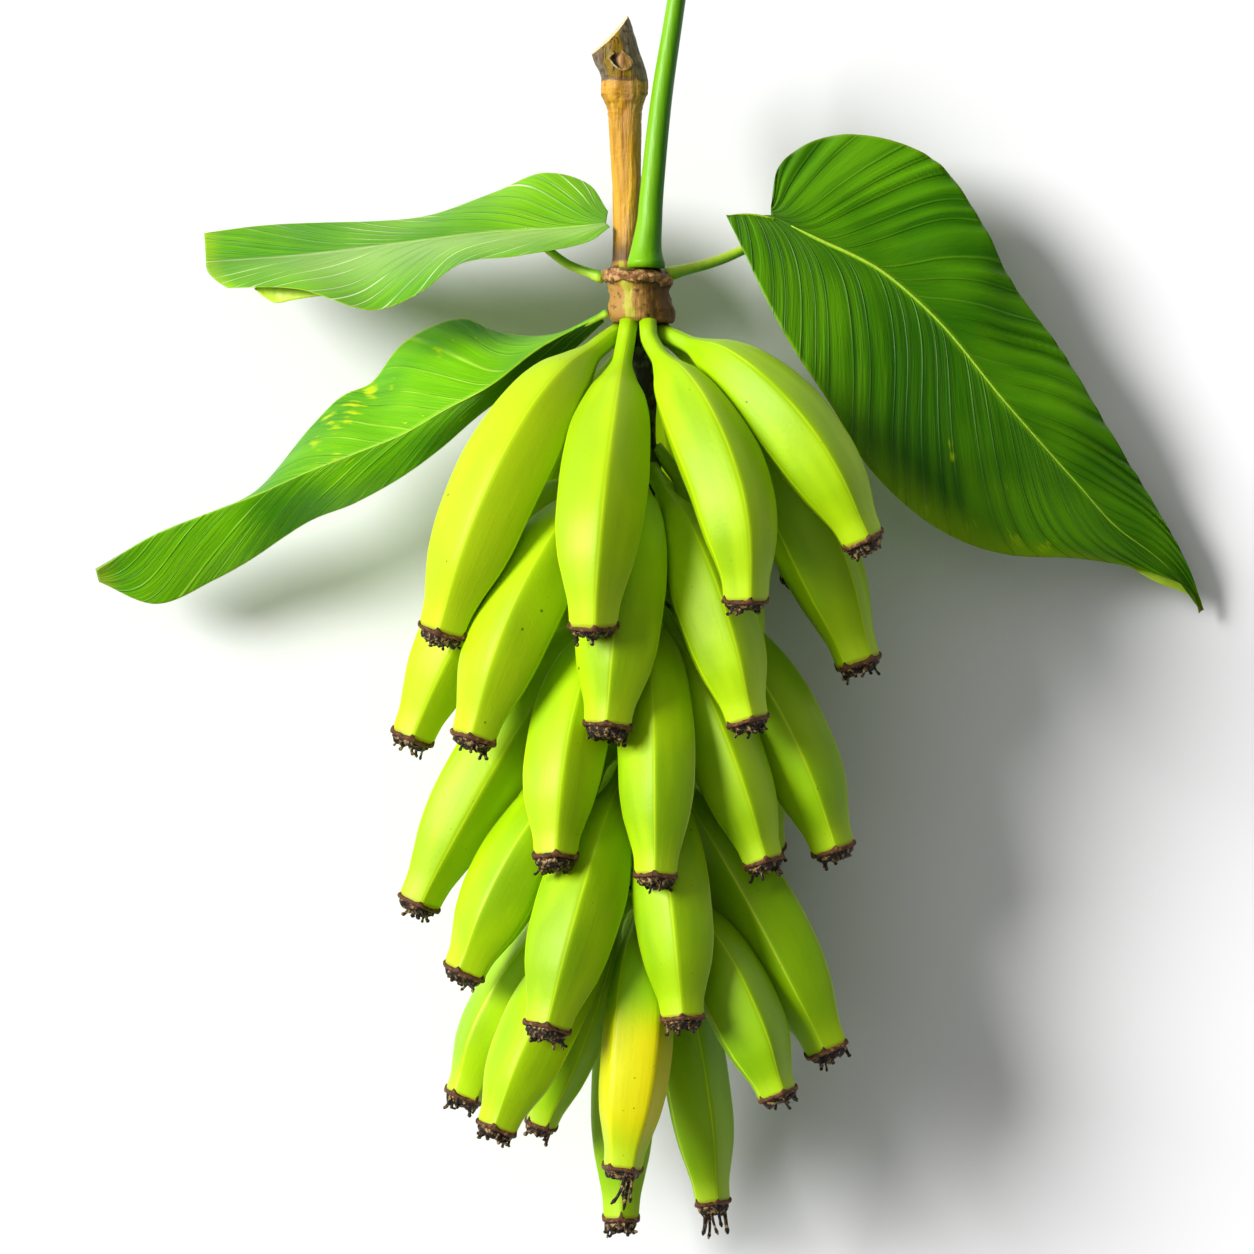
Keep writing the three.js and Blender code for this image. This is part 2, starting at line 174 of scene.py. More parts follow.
def even_curve(points: Array | tuple, count: int, tension: int = 40) -> Array:
    """Returns evenly spaced points on a smooth curve through given points.

    Args:
        points: rows of coordinates that the curve runs through.
        count: how many points are wanted.
        tension: how many steps stand between two given points while measuring.

    Returns:
        The rows on the curve, the first and last as given.
    """
    points = np.asarray(points, dtype=float)
    knots = np.concatenate([[0], np.cumsum(np.sqrt(np.linalg.norm(np.diff(points, axis=0), axis=1)))])
    padded = np.vstack([2 * points[0] - points[1], points, 2 * points[-1] - points[-2]])
    times = np.concatenate([[knots[0] - (knots[1] - knots[0])], knots, [2 * knots[-1] - knots[-2]]])
    dense = []
    for i in range(1, len(points)):
        t = np.linspace(times[i], times[i + 1], tension, endpoint=False)[:, None]
        rows, at = list(padded[i - 1:i + 3]), times[i - 1:i + 3]
        for starts, span in ((range(3), 1), (range(2), 2), (range(1, 2), 1)):
            rows = [
                ((at[k + span] - t) * rows[k - starts[0]] + (t - at[k]) * rows[k - starts[0] + 1])
                / (at[k + span] - at[k]) for k in starts
            ]
        dense.append(rows[0])
    dense = np.vstack(dense + [points[-1:]])
    length = np.concatenate([[0], np.cumsum(np.linalg.norm(np.diff(dense, axis=0), axis=1))])
    wanted = np.linspace(0, length[-1], count)
    return np.stack([np.interp(wanted, length, column) for column in dense.T], axis=1)


def roughness_field(points: Array, scale: Point | float, seed: float) -> Array:
    """Returns soft random values of about -1 to 1 at points.

    Args:
        points: rows of coordinates.
        scale: how fine the values are, along each axis or in all.
        seed: which random values.

    Returns:
        One value for each row.
    """
    shifted = points.reshape(-1, 3) * np.array(scale) + seed
    values = [noise.fractal(Vector(p), 0.8, 2.1, 4) for p in shifted]
    return np.array(values).reshape(points.shape[:-1])


def add_object(name: str, data: bpy.types.ID) -> bpy.types.Object:
    """Returns a new object of the scene."""
    made = bpy.data.objects.new(name, data)
    bpy.context.scene.collection.objects.link(made)
    return made


class MeshParts:
    """Collects points, faces and point values for one piece."""

    def __init__(self) -> None:
        """Starts with nothing."""
        self.points: list[Array] = []
        self.faces: list[tuple[int, ...]] = []
        self.values: dict[str, list[Array]] = {}
        self.count = 0

    def add(self, points: Array, faces: list[tuple[int, ...]], **values: Array) -> None:
        """Adds one body.

        Args:
            points: its points in the layout.
            faces: its faces, by its own point numbers.
            **values: one number for each point, by name.
        """
        self.points.append(points)
        self.faces += [tuple(self.count + k for k in face) for face in faces]
        for name, numbers in values.items():
            self.values.setdefault(name, []).append(numbers)
        self.count += len(points)

    def add_rings(self, rings: Array, **values: Array | float) -> None:
        """Adds a closed body through rings of points, with a fan over each end.

        Args:
            rings: an array of rings, each of the same number of points.
            **values: numbers by name, for each ring point, each ring, each side or all.
        """
        count, sides = rings.shape[:2]
        points = np.vstack([rings.reshape(-1, 3), rings[0].mean(axis=0), rings[-1].mean(axis=0)])
        first, last = count * sides, count * sides + 1
        faces: list[tuple[int, ...]] = []
        for start in range(0, first - sides, sides):
            for k in range(sides):
                a, b = start + k, start + (k + 1) % sides
                faces.append((a, a + sides, b + sides, b))
        for k in range(sides):
            b = (k + 1) % sides
            faces += [(first, k, b), (last, first - sides + b, first - sides + k)]
        full = {}
        for name, numbers in values.items():
            grid = np.broadcast_to(numbers, (count, sides))
            full[name] = np.concatenate([grid.ravel(), [grid[0].mean(), grid[-1].mean()]])
        self.add(points, faces, **full)

    def add_tube(self, line: Array, across: Array, over: Array, radius: Array, sides: int,
                 **values: Array | float) -> None:
        """Adds a tube.

        Args:
            line: the points of its middle.
            across: the direction of its first side at each point.
            over: the direction a quarter turn on.
            radius: half its width at each point.
            sides: how many sides it has.
            **values: numbers by name.
        """
        rings = line[:, None] + ways_round(across, over, sides) * radius[:, None, None]
        self.add_rings(rings, **values)

    def build(self, name: str, material: bpy.types.Material) -> bpy.types.Object:
        """Makes the object, with smooth faces that point out.

        Args:
            name: the object's name.
            material: its finish.

        Returns:
            The new object, linked to the scene.
        """
        mesh = bpy.data.meshes.new(name)
        mesh.from_pydata(LAYOUT.place(np.vstack(self.points)).tolist(), [], self.faces)
        for value, lists in self.values.items():
            layer = mesh.attributes.new(value, "FLOAT", "POINT")
            layer.data.foreach_set("value", np.concatenate(lists).astype(np.float32))
        mesh.materials.append(material)
        work = bmesh.new()
        work.from_mesh(mesh)
        bmesh.ops.recalc_face_normals(work, faces=work.faces)
        work.to_mesh(mesh)
        work.free()
        mesh.polygons.foreach_set("use_smooth", [True] * len(mesh.polygons))
        mesh.update()
        return add_object(name, mesh)


def set_out(piece: bpy.types.Object, replaces: str | None = None) -> None:
    """Puts a piece on the body.

    Args:
        piece: the object.
        replaces: the node that it stands for, if it stands for one.
    """
    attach(piece, "root")
    if replaces:
        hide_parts(replaces)
    log.info("%s: %d faces", piece.name, len(piece.data.polygons))


Colour = tuple[float, float, float]


def paint(red: int, green: int, blue: int) -> Colour:
    """Returns a linear colour from screen values of 0 to 255."""
    def linear(value: float) -> float:
        """Returns one channel as light."""
        share = value / 255
        return share / 12.92 if share <= 0.04045 else ((share + 0.055) / 1.055) ** 2.4

    return linear(red), linear(green), linear(blue)


@dataclass(frozen=True)
class Grain:
    """Random values: how fine, how many layers, how rough, and the part of them carried to 0 to 1."""

    scale: float
    detail: float = 3
    rough: float = 0.55
    span: tuple[float, float] | None = None
    stretch: Point = (1, 1, 1)


class Value:
    """A number, place or colour inside a material, which takes part in sums and products."""

    def __init__(self, shader: Shader, socket: bpy.types.NodeSocket) -> None:
        """Holds the output of a node.

        Args:
            shader: the material's wiring.
            socket: the output.
        """
        self.shader = shader
        self.socket = socket

    def __add__(self, other: Value | float) -> Value:
        """Returns the sum."""
        return self.shader.math("ADD", self, other)

    def __sub__(self, other: Value | float) -> Value:
        """Returns the difference."""
        return self.shader.math("SUBTRACT", self, other)

    def __mul__(self, other: Value | float) -> Value:
        """Returns the product."""
        return self.shader.math("MULTIPLY", self, other)

    def __abs__(self) -> Value:
        """Returns the number without its sign."""
        return self.shader.math("ABSOLUTE", self)

    def ramp(self, low: float, high: float, to: tuple[float, float] = (0, 1)) -> Value:
        """Returns the number carried smoothly from one range to another, never outside it.

        Args:
            low: where the rise starts.
            high: where it ends.
            to: the results at both ends.

        Returns:
            The number in its new range.
        """
        inputs = {"Value": self, "From Min": low, "From Max": high, "To Min": to[0], "To Max": to[1]}
        return self.shader.node("MapRange", inputs, "Result", interpolation_type="SMOOTHSTEP")

    def tint(self, share: Value | float, to: Value | Colour) -> Value:
        """Returns this colour, carried toward another by a share."""
        return self.shader.blend(share, self, to)


class Shader:
    """Wires the nodes of one material."""

    def __init__(self, name: str) -> None:
        """Makes a material with a bare shader.

        Args:
            name: the material's name.
        """
        self.material = bpy.data.materials.new(name)
        self.material.use_nodes = True
        self.tree = self.material.node_tree
        self.tree.nodes.clear()
        output = self.tree.nodes.new("ShaderNodeOutputMaterial")
        self.surface = self.tree.nodes.new("ShaderNodeBsdfPrincipled")
        self.tree.links.new(self.surface.outputs[0], output.inputs["Surface"])

    def join(self, value: object, socket: bpy.types.NodeSocket) -> None:
        """Links a value of a node to an input, or sets a plain one."""
        if isinstance(value, Value):
            self.tree.links.new(value.socket, socket)
        elif socket.type == "RGBA":
            socket.default_value = (*value, 1.0)
        else:
            socket.default_value = value

    def node(self, kind: str, inputs: dict, out: str | int = 0, **settings: object) -> Value:
        """Adds one node.

        Args:
            kind: its type, as named after ShaderNode.
            inputs: the values of its inputs, by name or number.
            out: the output that is used.
            **settings: its own settings.

        Returns:
            The output.
        """
        node = self.tree.nodes.new(f"ShaderNode{kind}")
        for name, setting in settings.items():
            setattr(node, name, setting)
        for name, value in inputs.items():
            self.join(value, node.inputs[name])
        return Value(self, node.outputs[out])

    def points(self, *names: str) -> list[Value]:
        """Returns point values of the mesh, by name."""
        return [self.node("Attribute", {}, "Fac", attribute_name=name) for name in names]

    def place(self, stretch: Point = (1, 1, 1)) -> Value:
        """Returns the place on the piece in metres, stretched along each axis."""
        return self.node("Mapping", {"Vector": self.node("TexCoord", {}, "Object"), "Scale": stretch})

    def spot(self, x: Value, y: Value, z: Value | float = 0.0) -> Value:
        """Returns a place made of three numbers."""
        return self.node("CombineXYZ", {0: x, 1: y, 2: z})

    def noise(self, grain: Grain, place: Value | None = None) -> Value:
        """Returns soft random values.

        Args:
            grain: how they are.
            place: where they are taken, if not on the piece.

        Returns:
            A value of about 0.3 to 0.7, or of 0 to 1 if the grain has a span.
        """
        inputs = {"Scale": grain.scale, "Detail": grain.detail, "Roughness": grain.rough}
        value = self.node("TexNoise", {"Vector": place or self.place(grain.stretch), **inputs}, "Fac")
        return value.ramp(*grain.span) if grain.span else value

    def specks(self, scale: float, size: float, share: float) -> Value:
        """Returns a mask of small round specks.

        Args:
            scale: cells to a metre.
            size: the largest speck's radius, in cells.
            share: the share of cells that have one.

        Returns:
            One inside a speck, zero outside.
        """
        tone, distance = (
            self.node("TexVoronoi", {"Vector": self.place(), "Scale": scale}, out)
            for out in ("Color", "Distance")
        )
        chosen = self.node("SeparateColor", {0: tone}).ramp(1 - share, 1.0)
        return (chosen * size - distance).ramp(0.0, size * 0.35)

    def math(self, kind: str, a: Value, b: Value | float = 0.0) -> Value:
        """Returns a sum, product or the like of two numbers."""
        return self.node("Math", {0: a, 1: b}, operation=kind)

    def blend(self, share: Value | float, a: Value | Colour, b: Value | Colour) -> Value:
        """Returns a colour between two."""
        return self.node("Mix", {0: share, 6: a, 7: b}, 2, data_type="RGBA", clamp_factor=True)

    def bump(self, height: Value, depth: float, under: Value | None = None) -> Value:
        """Returns a normal that stands out by a height, in metres."""
        more = {"Normal": under} if under else {}
        return self.node("Bump", {"Strength": 1.0, "Distance": depth, "Height": height, **more})

    def finish(self, **sockets: object) -> bpy.types.Material:
        """Sets the surface's inputs and returns the material.

        Args:
            **sockets: input names with _ for each space.

        Returns:
            The finished material.
        """
        for name, value in sockets.items():
            self.join(value, self.surface.inputs[name.replace("_", " ")])
        return self.material


@dataclass(frozen=True)
class PeelFinish:
    """Waxy peel: paler ridges, fine length streaks, a few dark specks and rubbed marks, with painted light on
    fruits toward the key light and painted shade on the others.
    """

    name: str
    deep: Colour
    light: Colour
    ridge: Colour
    neck: Colour
    # Tones of painted light and painted shade, blended by each fruit's share of painted light.
    sunned: Colour = paint(192, 214, 20)
    painted_shade_tone: Colour = paint(96, 150, 0)
    shine: Colour = paint(255, 252, 190)
    speck: Colour = paint(58, 52, 14)
    scar: Colour = paint(122, 74, 22)
    ends: Colour | None = None
    sun_share: float = 0.55
    half_sun: float = 0.45
    clouds: Grain = Grain(1, 2, span=(0.32, 0.68), stretch=(0.8, 0.8, 2.2))
    streaks: Grain = Grain(1, 4, 0.6, (0.3, 0.75), (9, 9, 4))
    ridge_gaps: Grain = Grain(1, 2, stretch=(1, 1, 5))
    rubs: Grain = Grain(1, 5, 0.7, (0.74, 0.79), (5, 5, 9))
    wax: Grain = Grain(420, 2)

    def build(self) -> bpy.types.Material:
        """Returns the material."""
        shader = Shader(self.name)
        along, ridge, sun = shader.points("along", "ridge", "sun")
        cloud = self.round_noise(shader, self.clouds)
        colour = shader.blend(cloud, self.deep, self.light)
        # Painted light on fruits high and to the left, toward the key light, and painted shade on the others.
        colour = colour.tint(sun.ramp(self.half_sun, 1.0, (0, self.sun_share)), self.sunned)
        colour = colour.tint(sun.ramp(self.half_sun, 0.0, (0, self.sun_share)), self.painted_shade_tone)
        if self.ends:
            colour = colour.tint(abs(along - 0.7).ramp(0.1, 0.3), self.ends)
        streak = self.round_noise(shader, self.streaks)
        colour = colour.tint(streak * 0.04, self.light)
        colour = colour.tint(along.ramp(0.3, 0.02) * 0.6, self.neck)
        colour = colour.tint(along.ramp(0.86, 1.0) * 0.3, self.ridge)
        broken = self.round_noise(shader, self.ridge_gaps).ramp(0.25, 0.6, (0.25, 0.6))
        colour = colour.tint(ridge.ramp(0.93, 0.99) * broken, self.ridge)
        fine_specks = shader.specks(270, 0.16, 0.16) * 0.45
        specks = shader.math("MAXIMUM", shader.specks(110, 0.11, 0.2), fine_specks)
        colour = colour.tint(specks * 0.7, self.speck)
        colour = colour.tint(self.round_noise(shader, self.rubs) * 0.6, self.scar)
        colour = colour.tint((along + cloud * 0.004).ramp(0.985, 0.997) * 0.55, self.scar)
        fine = shader.bump(shader.noise(self.wax), 0.00008)
        return shader.finish(
            Base_Color=colour, Roughness=0.46, Normal=shader.bump(streak, 0.00004, fine),
            Specular_IOR_Level=0.38, Specular_Tint=self.shine,
            Subsurface_Weight=0.05, Subsurface_Radius=(0.004, 0.006, 0.001), Subsurface_Scale=1.0,
        )

    def round_noise(self, shader: Shader, grain: Grain) -> Value:
        """Returns soft random values that run round the fruit without a seam, apart for each fruit.

        Args:
            shader: the peel's shader.
            grain: how they are, stretched round the fruit and along it.

        Returns:
            The values.
        """
        x, y, along, fruit = shader.points("round_x", "round_y", "along", "fruit")
        fine, wide, long = grain.stretch
        return shader.noise(grain, shader.spot(x * fine, y * wide, along * long + fruit))


@dataclass(frozen=True)
class WitheredFinish:
    """Dry, dark flower remains with lighter fibres and a lighter brown rim."""

    name: str = "withered_flower"
    dark: Colour = paint(26, 14, 4)
    fibre: Colour = paint(174, 140, 88)
    rim: Colour = paint(96, 58, 30)
    rim_light: Colour = paint(160, 116, 72)
    fibres: Grain = Grain(380, 5, 0.7)

    def build(self) -> bpy.types.Material:
        """Returns the material."""
        shader = Shader(self.name)
        fibre = shader.noise(self.fibres)
        edge = shader.blend(fibre.ramp(0.34, 0.5), self.dark, self.rim)
        edge = edge.tint(fibre.ramp(0.56, 0.66), self.rim_light)
        colour = shader.blend(fibre.ramp(0.5, 0.63), self.dark, self.fibre)
        colour = colour.tint(shader.points("rim")[0], edge)
        normal = shader.bump(fibre, 0.0012)
        return shader.finish(Base_Color=colour, Roughness=0.6, Normal=normal, Specular_IOR_Level=0.3)


@dataclass(frozen=True)
class LeafFinish:
    """A satin blade with fine pale side veins, a yellow edge and a paler underside, with painted light and
    shade along its pleats and, where set, a painted sheen on its lower half and painted shade at its base.
    """

    name: str
    deep: Colour
    light: Colour
    vein: Colour
    patch: Colour
    veins: float
    patches: float
    painted_sheen_lower: float = 0.0
    painted_shade_at_base: float = 0.0
    edge: float = 0.6
    vein_show: float = 0.6
    glow: float = 0.0
    thread_show: float = 0.3
    painted_pleat_shade: float = 0.2
    drift: Grain = Grain(9, 1)
    threads: Grain = Grain(1, 4, 0.62, (0.34, 0.68))
    clouds: Grain = Grain(11, 2, span=(0.36, 0.66))
    freshness: Grain = Grain(23, 2)
    tears: Grain = Grain(1, 4)

    def build(self) -> bpy.types.Material:
        """Returns the material."""
        shader = Shader(self.name)
        beat, across, along, under, near = shader.points("beat", "across", "along", "under", "patch")
        out = abs(across)
        phase = beat * self.veins + shader.noise(self.drift) * 0.25
        wave = shader.math("PINGPONG", phase, 0.5)
        line = wave.ramp(0.07, 0.0)
        side = across.ramp(-0.02, 0.02)
        thread = shader.noise(self.threads, shader.spot(phase * 2.6, across * 1.2, side))
        tone = thread * self.thread_show + shader.noise(self.clouds) * (1 - self.thread_show)
        # Painted light and shade that follow the pleats, stronger toward the margins.
        tone = tone + (wave * 2 - 0.5) * out.ramp(0.05, 0.7, (0, self.painted_pleat_shade))
        colour = shader.blend(tone, self.deep, self.light)
        # Painted sheen: the lower half is paler near the midrib and toward the base.
        pale = side * (out.ramp(0.95, 0.1, (0.1, 1.0)) * along.ramp(1.0, 0.55, (0.2, 1.0)))
        colour = colour.tint(pale * self.painted_sheen_lower, shader.blend(0.6, self.light, self.vein))
        # Painted shade: the lower half darkens toward the base, near the crown.
        base = along.ramp(0.5, 0.1) * self.painted_shade_at_base * side
        colour = colour.tint(base, shader.blend(0.75, self.deep, (0, 0.01, 0)))
        fresh = shader.noise(self.freshness).ramp(0.42, 0.62, (0.06, self.vein_show))
        colour = colour.tint(line * fresh, self.vein)
        torn = shader.noise(self.tears, shader.spot(phase * 3.2, across * 5))
        flecks = torn.ramp(1 - self.patches, 1.02 - self.patches)
        spots = shader.math("MAXIMUM", (near * 0.7 + torn * 1.9).ramp(1.45, 1.85), flecks)
        colour = colour.tint(spots * 0.7, self.patch)
        glow = across.ramp(0.72, 1.0) * along.ramp(0.3, 0.55) * along.ramp(0.95, 0.75)
        colour = colour.tint(glow * self.glow, shader.blend(0.35, self.light, self.patch))
        colour = colour.tint(out.ramp(0.975, 1.0) * self.edge, self.patch)
        colour = colour.tint(out.ramp(0.045, 0.0) * 0.45, self.vein)
        colour = colour.tint(under * 0.8, colour.tint(0.4, self.vein))
        colour = colour.tint(along.ramp(0.95, 1.0) * 0.35, self.patch)
        return shader.finish(
            Base_Color=colour, Roughness=tone.ramp(0, 1, (0.36, 0.46)), Specular_IOR_Level=0.14,
            Normal=shader.bump(line + thread * 0.8, 0.0004),
            Subsurface_Weight=0.04, Subsurface_Radius=(0.002, 0.004, 0.001), Subsurface_Scale=1.0,
        )


@dataclass(frozen=True)
class BarkFinish:
    """The stalk: a golden shaft, grey bark at the cut, a brown crown, dark inside the bunch from its own dark
    scars and painted shade, and painted shade on the right side of the shaft and the crown.

    Levels are in millimetres along the layout's y.
    """

    name: str = "stalk_bark"
    gold: Colour = paint(204, 154, 40)
    ochre: Colour = paint(160, 108, 20)
    pink: Colour = paint(190, 146, 90)
    olive: Colour = paint(126, 104, 8)
    grey: Colour = paint(112, 100, 74)
    crack: Colour = paint(46, 34, 12)
    cut: Colour = paint(226, 196, 146)
    smoke: Colour = paint(92, 70, 54)
    ring: Colour = paint(128, 84, 48)
    tan: Colour = paint(164, 122, 56)
    brown: Colour = paint(92, 64, 10)
    inner: Colour = paint(28, 28, 8)
    moss: Colour = paint(66, 78, 18)
    scab: Colour = paint(142, 100, 62)
    green: Colour = paint(176, 178, 50)
    stub_from: float = 271.2
    wrinkled: tuple[float, float] = (258, 264)
    smoky_foot: tuple[float, float] = (208, 188)
    crown_from: float = 183
    ring_level: float = 174.8
    lip_level: float = 152.8
    crown_to: float = 151
    fibres: Grain = Grain(620, 4, 0.6, stretch=(1, 0.09, 1))
    blotches: Grain = Grain(150, 4, 0.6)
    pores: Grain = Grain(1500, 2, span=(0.36, 0.5))
    long_fibres: Grain = Grain(260, 4, 0.6, (0.34, 0.66), (1, 0.045, 1))
    soft_marks: Grain = Grain(90, 3, span=(0.45, 0.65), stretch=(1, 0.3, 1))
    foot_edge: Grain = Grain(120)
    stub_edge: Grain = Grain(260, 2)
    cracks: Grain = Grain(380, 3, 0.7, (0.54, 0.62), (1, 0.05, 1))
    wrinkles: Grain = Grain(420, 3, 0.6, (0.58, 0.66), (0.35, 1, 0.35))
    stripes: Grain = Grain(700, 2, span=(0.42, 0.58), stretch=(1, 0.03, 1))
    marks: Grain = Grain(210, 4, 0.65, (0.56, 0.64))
    mottle: Grain = Grain(330, 3, 0.6, (0.42, 0.6))

    def build(self) -> bpy.types.Material:
        """Returns the material."""
        shader = Shader(self.name)
        fibre, blotch = shader.noise(self.fibres), shader.noise(self.blotches)
        colour = self.stub(shader, self.shaft(shader), fibre)
        colour = self.crown(shader, colour, blotch)
        cut = shader.blend(shader.noise(self.pores), self.tan, self.cut)
        colour = colour.tint(shader.points("face")[0], cut)
        normal = shader.bump(fibre + blotch, 0.0007)
        return shader.finish(Base_Color=colour, Roughness=0.5, Normal=normal, Specular_IOR_Level=0.25)

    def shaft(self, shader: Shader) -> Value:
        """Returns the golden shaft's colour, with painted shade in olive on its right side, smoky at its
        foot.

        Args:
            shader: the bark's shader.

        Returns:
            The colour along the shaft.
        """
        down, turn_x = shader.points("down", "round_x")
        colour = shader.blend(shader.noise(self.long_fibres), self.gold, self.ochre)
        colour = colour.tint(shader.noise(self.soft_marks) * 0.6, self.pink)
        # Painted shade: olive toward the shaft's right side.
        colour = colour.tint(turn_x.ramp(0.35, 0.9) * 0.6, self.olive)
        foot = down + shader.noise(self.foot_edge) * 14
        return colour.tint(foot.ramp(*self.smoky_foot) * 0.9, self.smoke)

    def stub(self, shader: Shader, shaft: Value, fibre: Value) -> Value:
        """Returns the shaft's colour with the stub above its collar.

        Args:
            shader: the bark's shader.
            shaft: the colour below.
            fibre: the random fibres.

        Returns:
            The colour with grey bark, cracked wood and the bud scar.
        """
        down, turn_x, scar = shader.points("down", "round_x", "scar")
        level = down - shader.noise(self.stub_edge) * 5
        wood = shader.blend(fibre.ramp(0.42, 0.7), self.olive, self.ochre)
        wood = wood.tint(shader.noise(self.cracks) * 0.85, self.crack)
        off = abs(turn_x + 0.08) + (fibre - 0.5) * 0.5
        bark = shader.blend(fibre.ramp(0.42, 0.6), self.grey, self.smoke)
        top = wood.tint(off.ramp(0.46, 0.56), bark)
        line = abs(level - self.stub_from).ramp(1.0, 0.3)
        colour = shaft.tint(level.ramp(self.stub_from - 0.3, self.stub_from + 0.3), top)
        colour = colour.tint(line * 0.7, self.smoke)
        wrinkled = down.ramp(*self.wrinkled) * shader.noise(self.wrinkles)
        colour = colour.tint(wrinkled * 0.5, self.crack)
        rim = scar.ramp(0.02, 0.16) * fibre.ramp(0.38, 0.55)
        colour = colour.tint(rim * 0.8, self.cut)
        healed = shader.blend(shader.noise(self.stripes), self.scab, self.tan)
        heart = shader.blend(turn_x.ramp(-0.1, 0.06), self.crack, healed)
        return colour.tint((scar + (fibre - 0.5) * 0.3).ramp(0.3, 0.42), heart)

    def crown(self, shader: Shader, colour: Value, blotch: Value) -> Value:
        """Returns the colour with the crown, its ring and the stalk inside the bunch, with painted shade on
        the crown's right and inside the bunch.

        Args:
            shader: the bark's shader.
            colour: the colour above the crown.
            blotch: the random blotches.

        Returns:
            The colour with the lower parts.
        """
        down, turn_x, turn_y = shader.points("down", "round_x", "round_y")
        uneven = blotch - 0.5
        # Painted shade: tan toward the crown's left and brown toward its right.
        body = shader.blend((turn_x + uneven * 0.9).ramp(-0.1, 0.35), self.tan, self.brown)
        body = body.tint(shader.noise(self.marks) * 0.7, self.crack)
        off = abs(turn_x + 0.33) + uneven * 0.3
        body = body.tint(off.ramp(0.2, 0.1) * turn_y.ramp(0.3, 0.6) * 0.75, self.green)
        band = shader.blend(shader.noise(self.mottle), self.ring, self.pink)
        off_ring = abs(down + uneven * 9 + turn_x * 1.4 - self.ring_level)
        body = body.tint(off_ring.ramp(3.6, 2.6), band)
        lines = off_ring.ramp(2.4, 3.4) * off_ring.ramp(4.8, 3.8)
        body = body.tint(lines * 0.85, self.crack)
        body = body.tint(abs(down - self.lip_level).ramp(1.8, 0.8) * 0.6, self.ring)
        colour = colour.tint(down.ramp(self.crown_from + 1, self.crown_from - 1), body)
        # Inside the bunch the stalk is near black: its own dark scars and painted shade.
        hidden = shader.blend(blotch.ramp(0.45, 0.6), self.inner, self.moss)
        return colour.tint(down.ramp(self.crown_to + 1, self.crown_to - 1), hidden)


@dataclass(frozen=True)
class StemFinish:
    """A fresh pale green stem, with painted shade darkening it round one side."""

    name: str
    # The lit colour, and the colour of the painted shade.
    light: Colour
    dark: Colour
    fibres: Grain = Grain(300, 4, 0.6, stretch=(1, 0.15, 1))

    def build(self) -> bpy.types.Material:
        """Returns the material."""
        shader = Shader(self.name)
        fibre = shader.noise(self.fibres)
        # Painted shade: darker from one side round to the other.
        shade = shader.points("round_x")[0].ramp(-0.6, 0.9)
        colour = shader.blend(shade + (fibre - 0.5) * 0.6, self.light, self.dark)
        normal = shader.bump(fibre, 0.0004)
        return shader.finish(Base_Color=colour, Roughness=0.4, Normal=normal, Specular_IOR_Level=0.25)


@dataclass(frozen=True)
class Hand:
    """One hand of fruits: its place along the stalk and the circle where its fruits start."""

    y: float
    radius: float
    stagger: float


HANDS = {
    1: Hand(145.5, 15, 1.5),
    2: Hand(84.5, 11, 9),
    3: Hand(18.5, 10.5, 9),
    4: Hand(-59, 10, 9),
    5: Hand(-128, 9.5, 9),
}


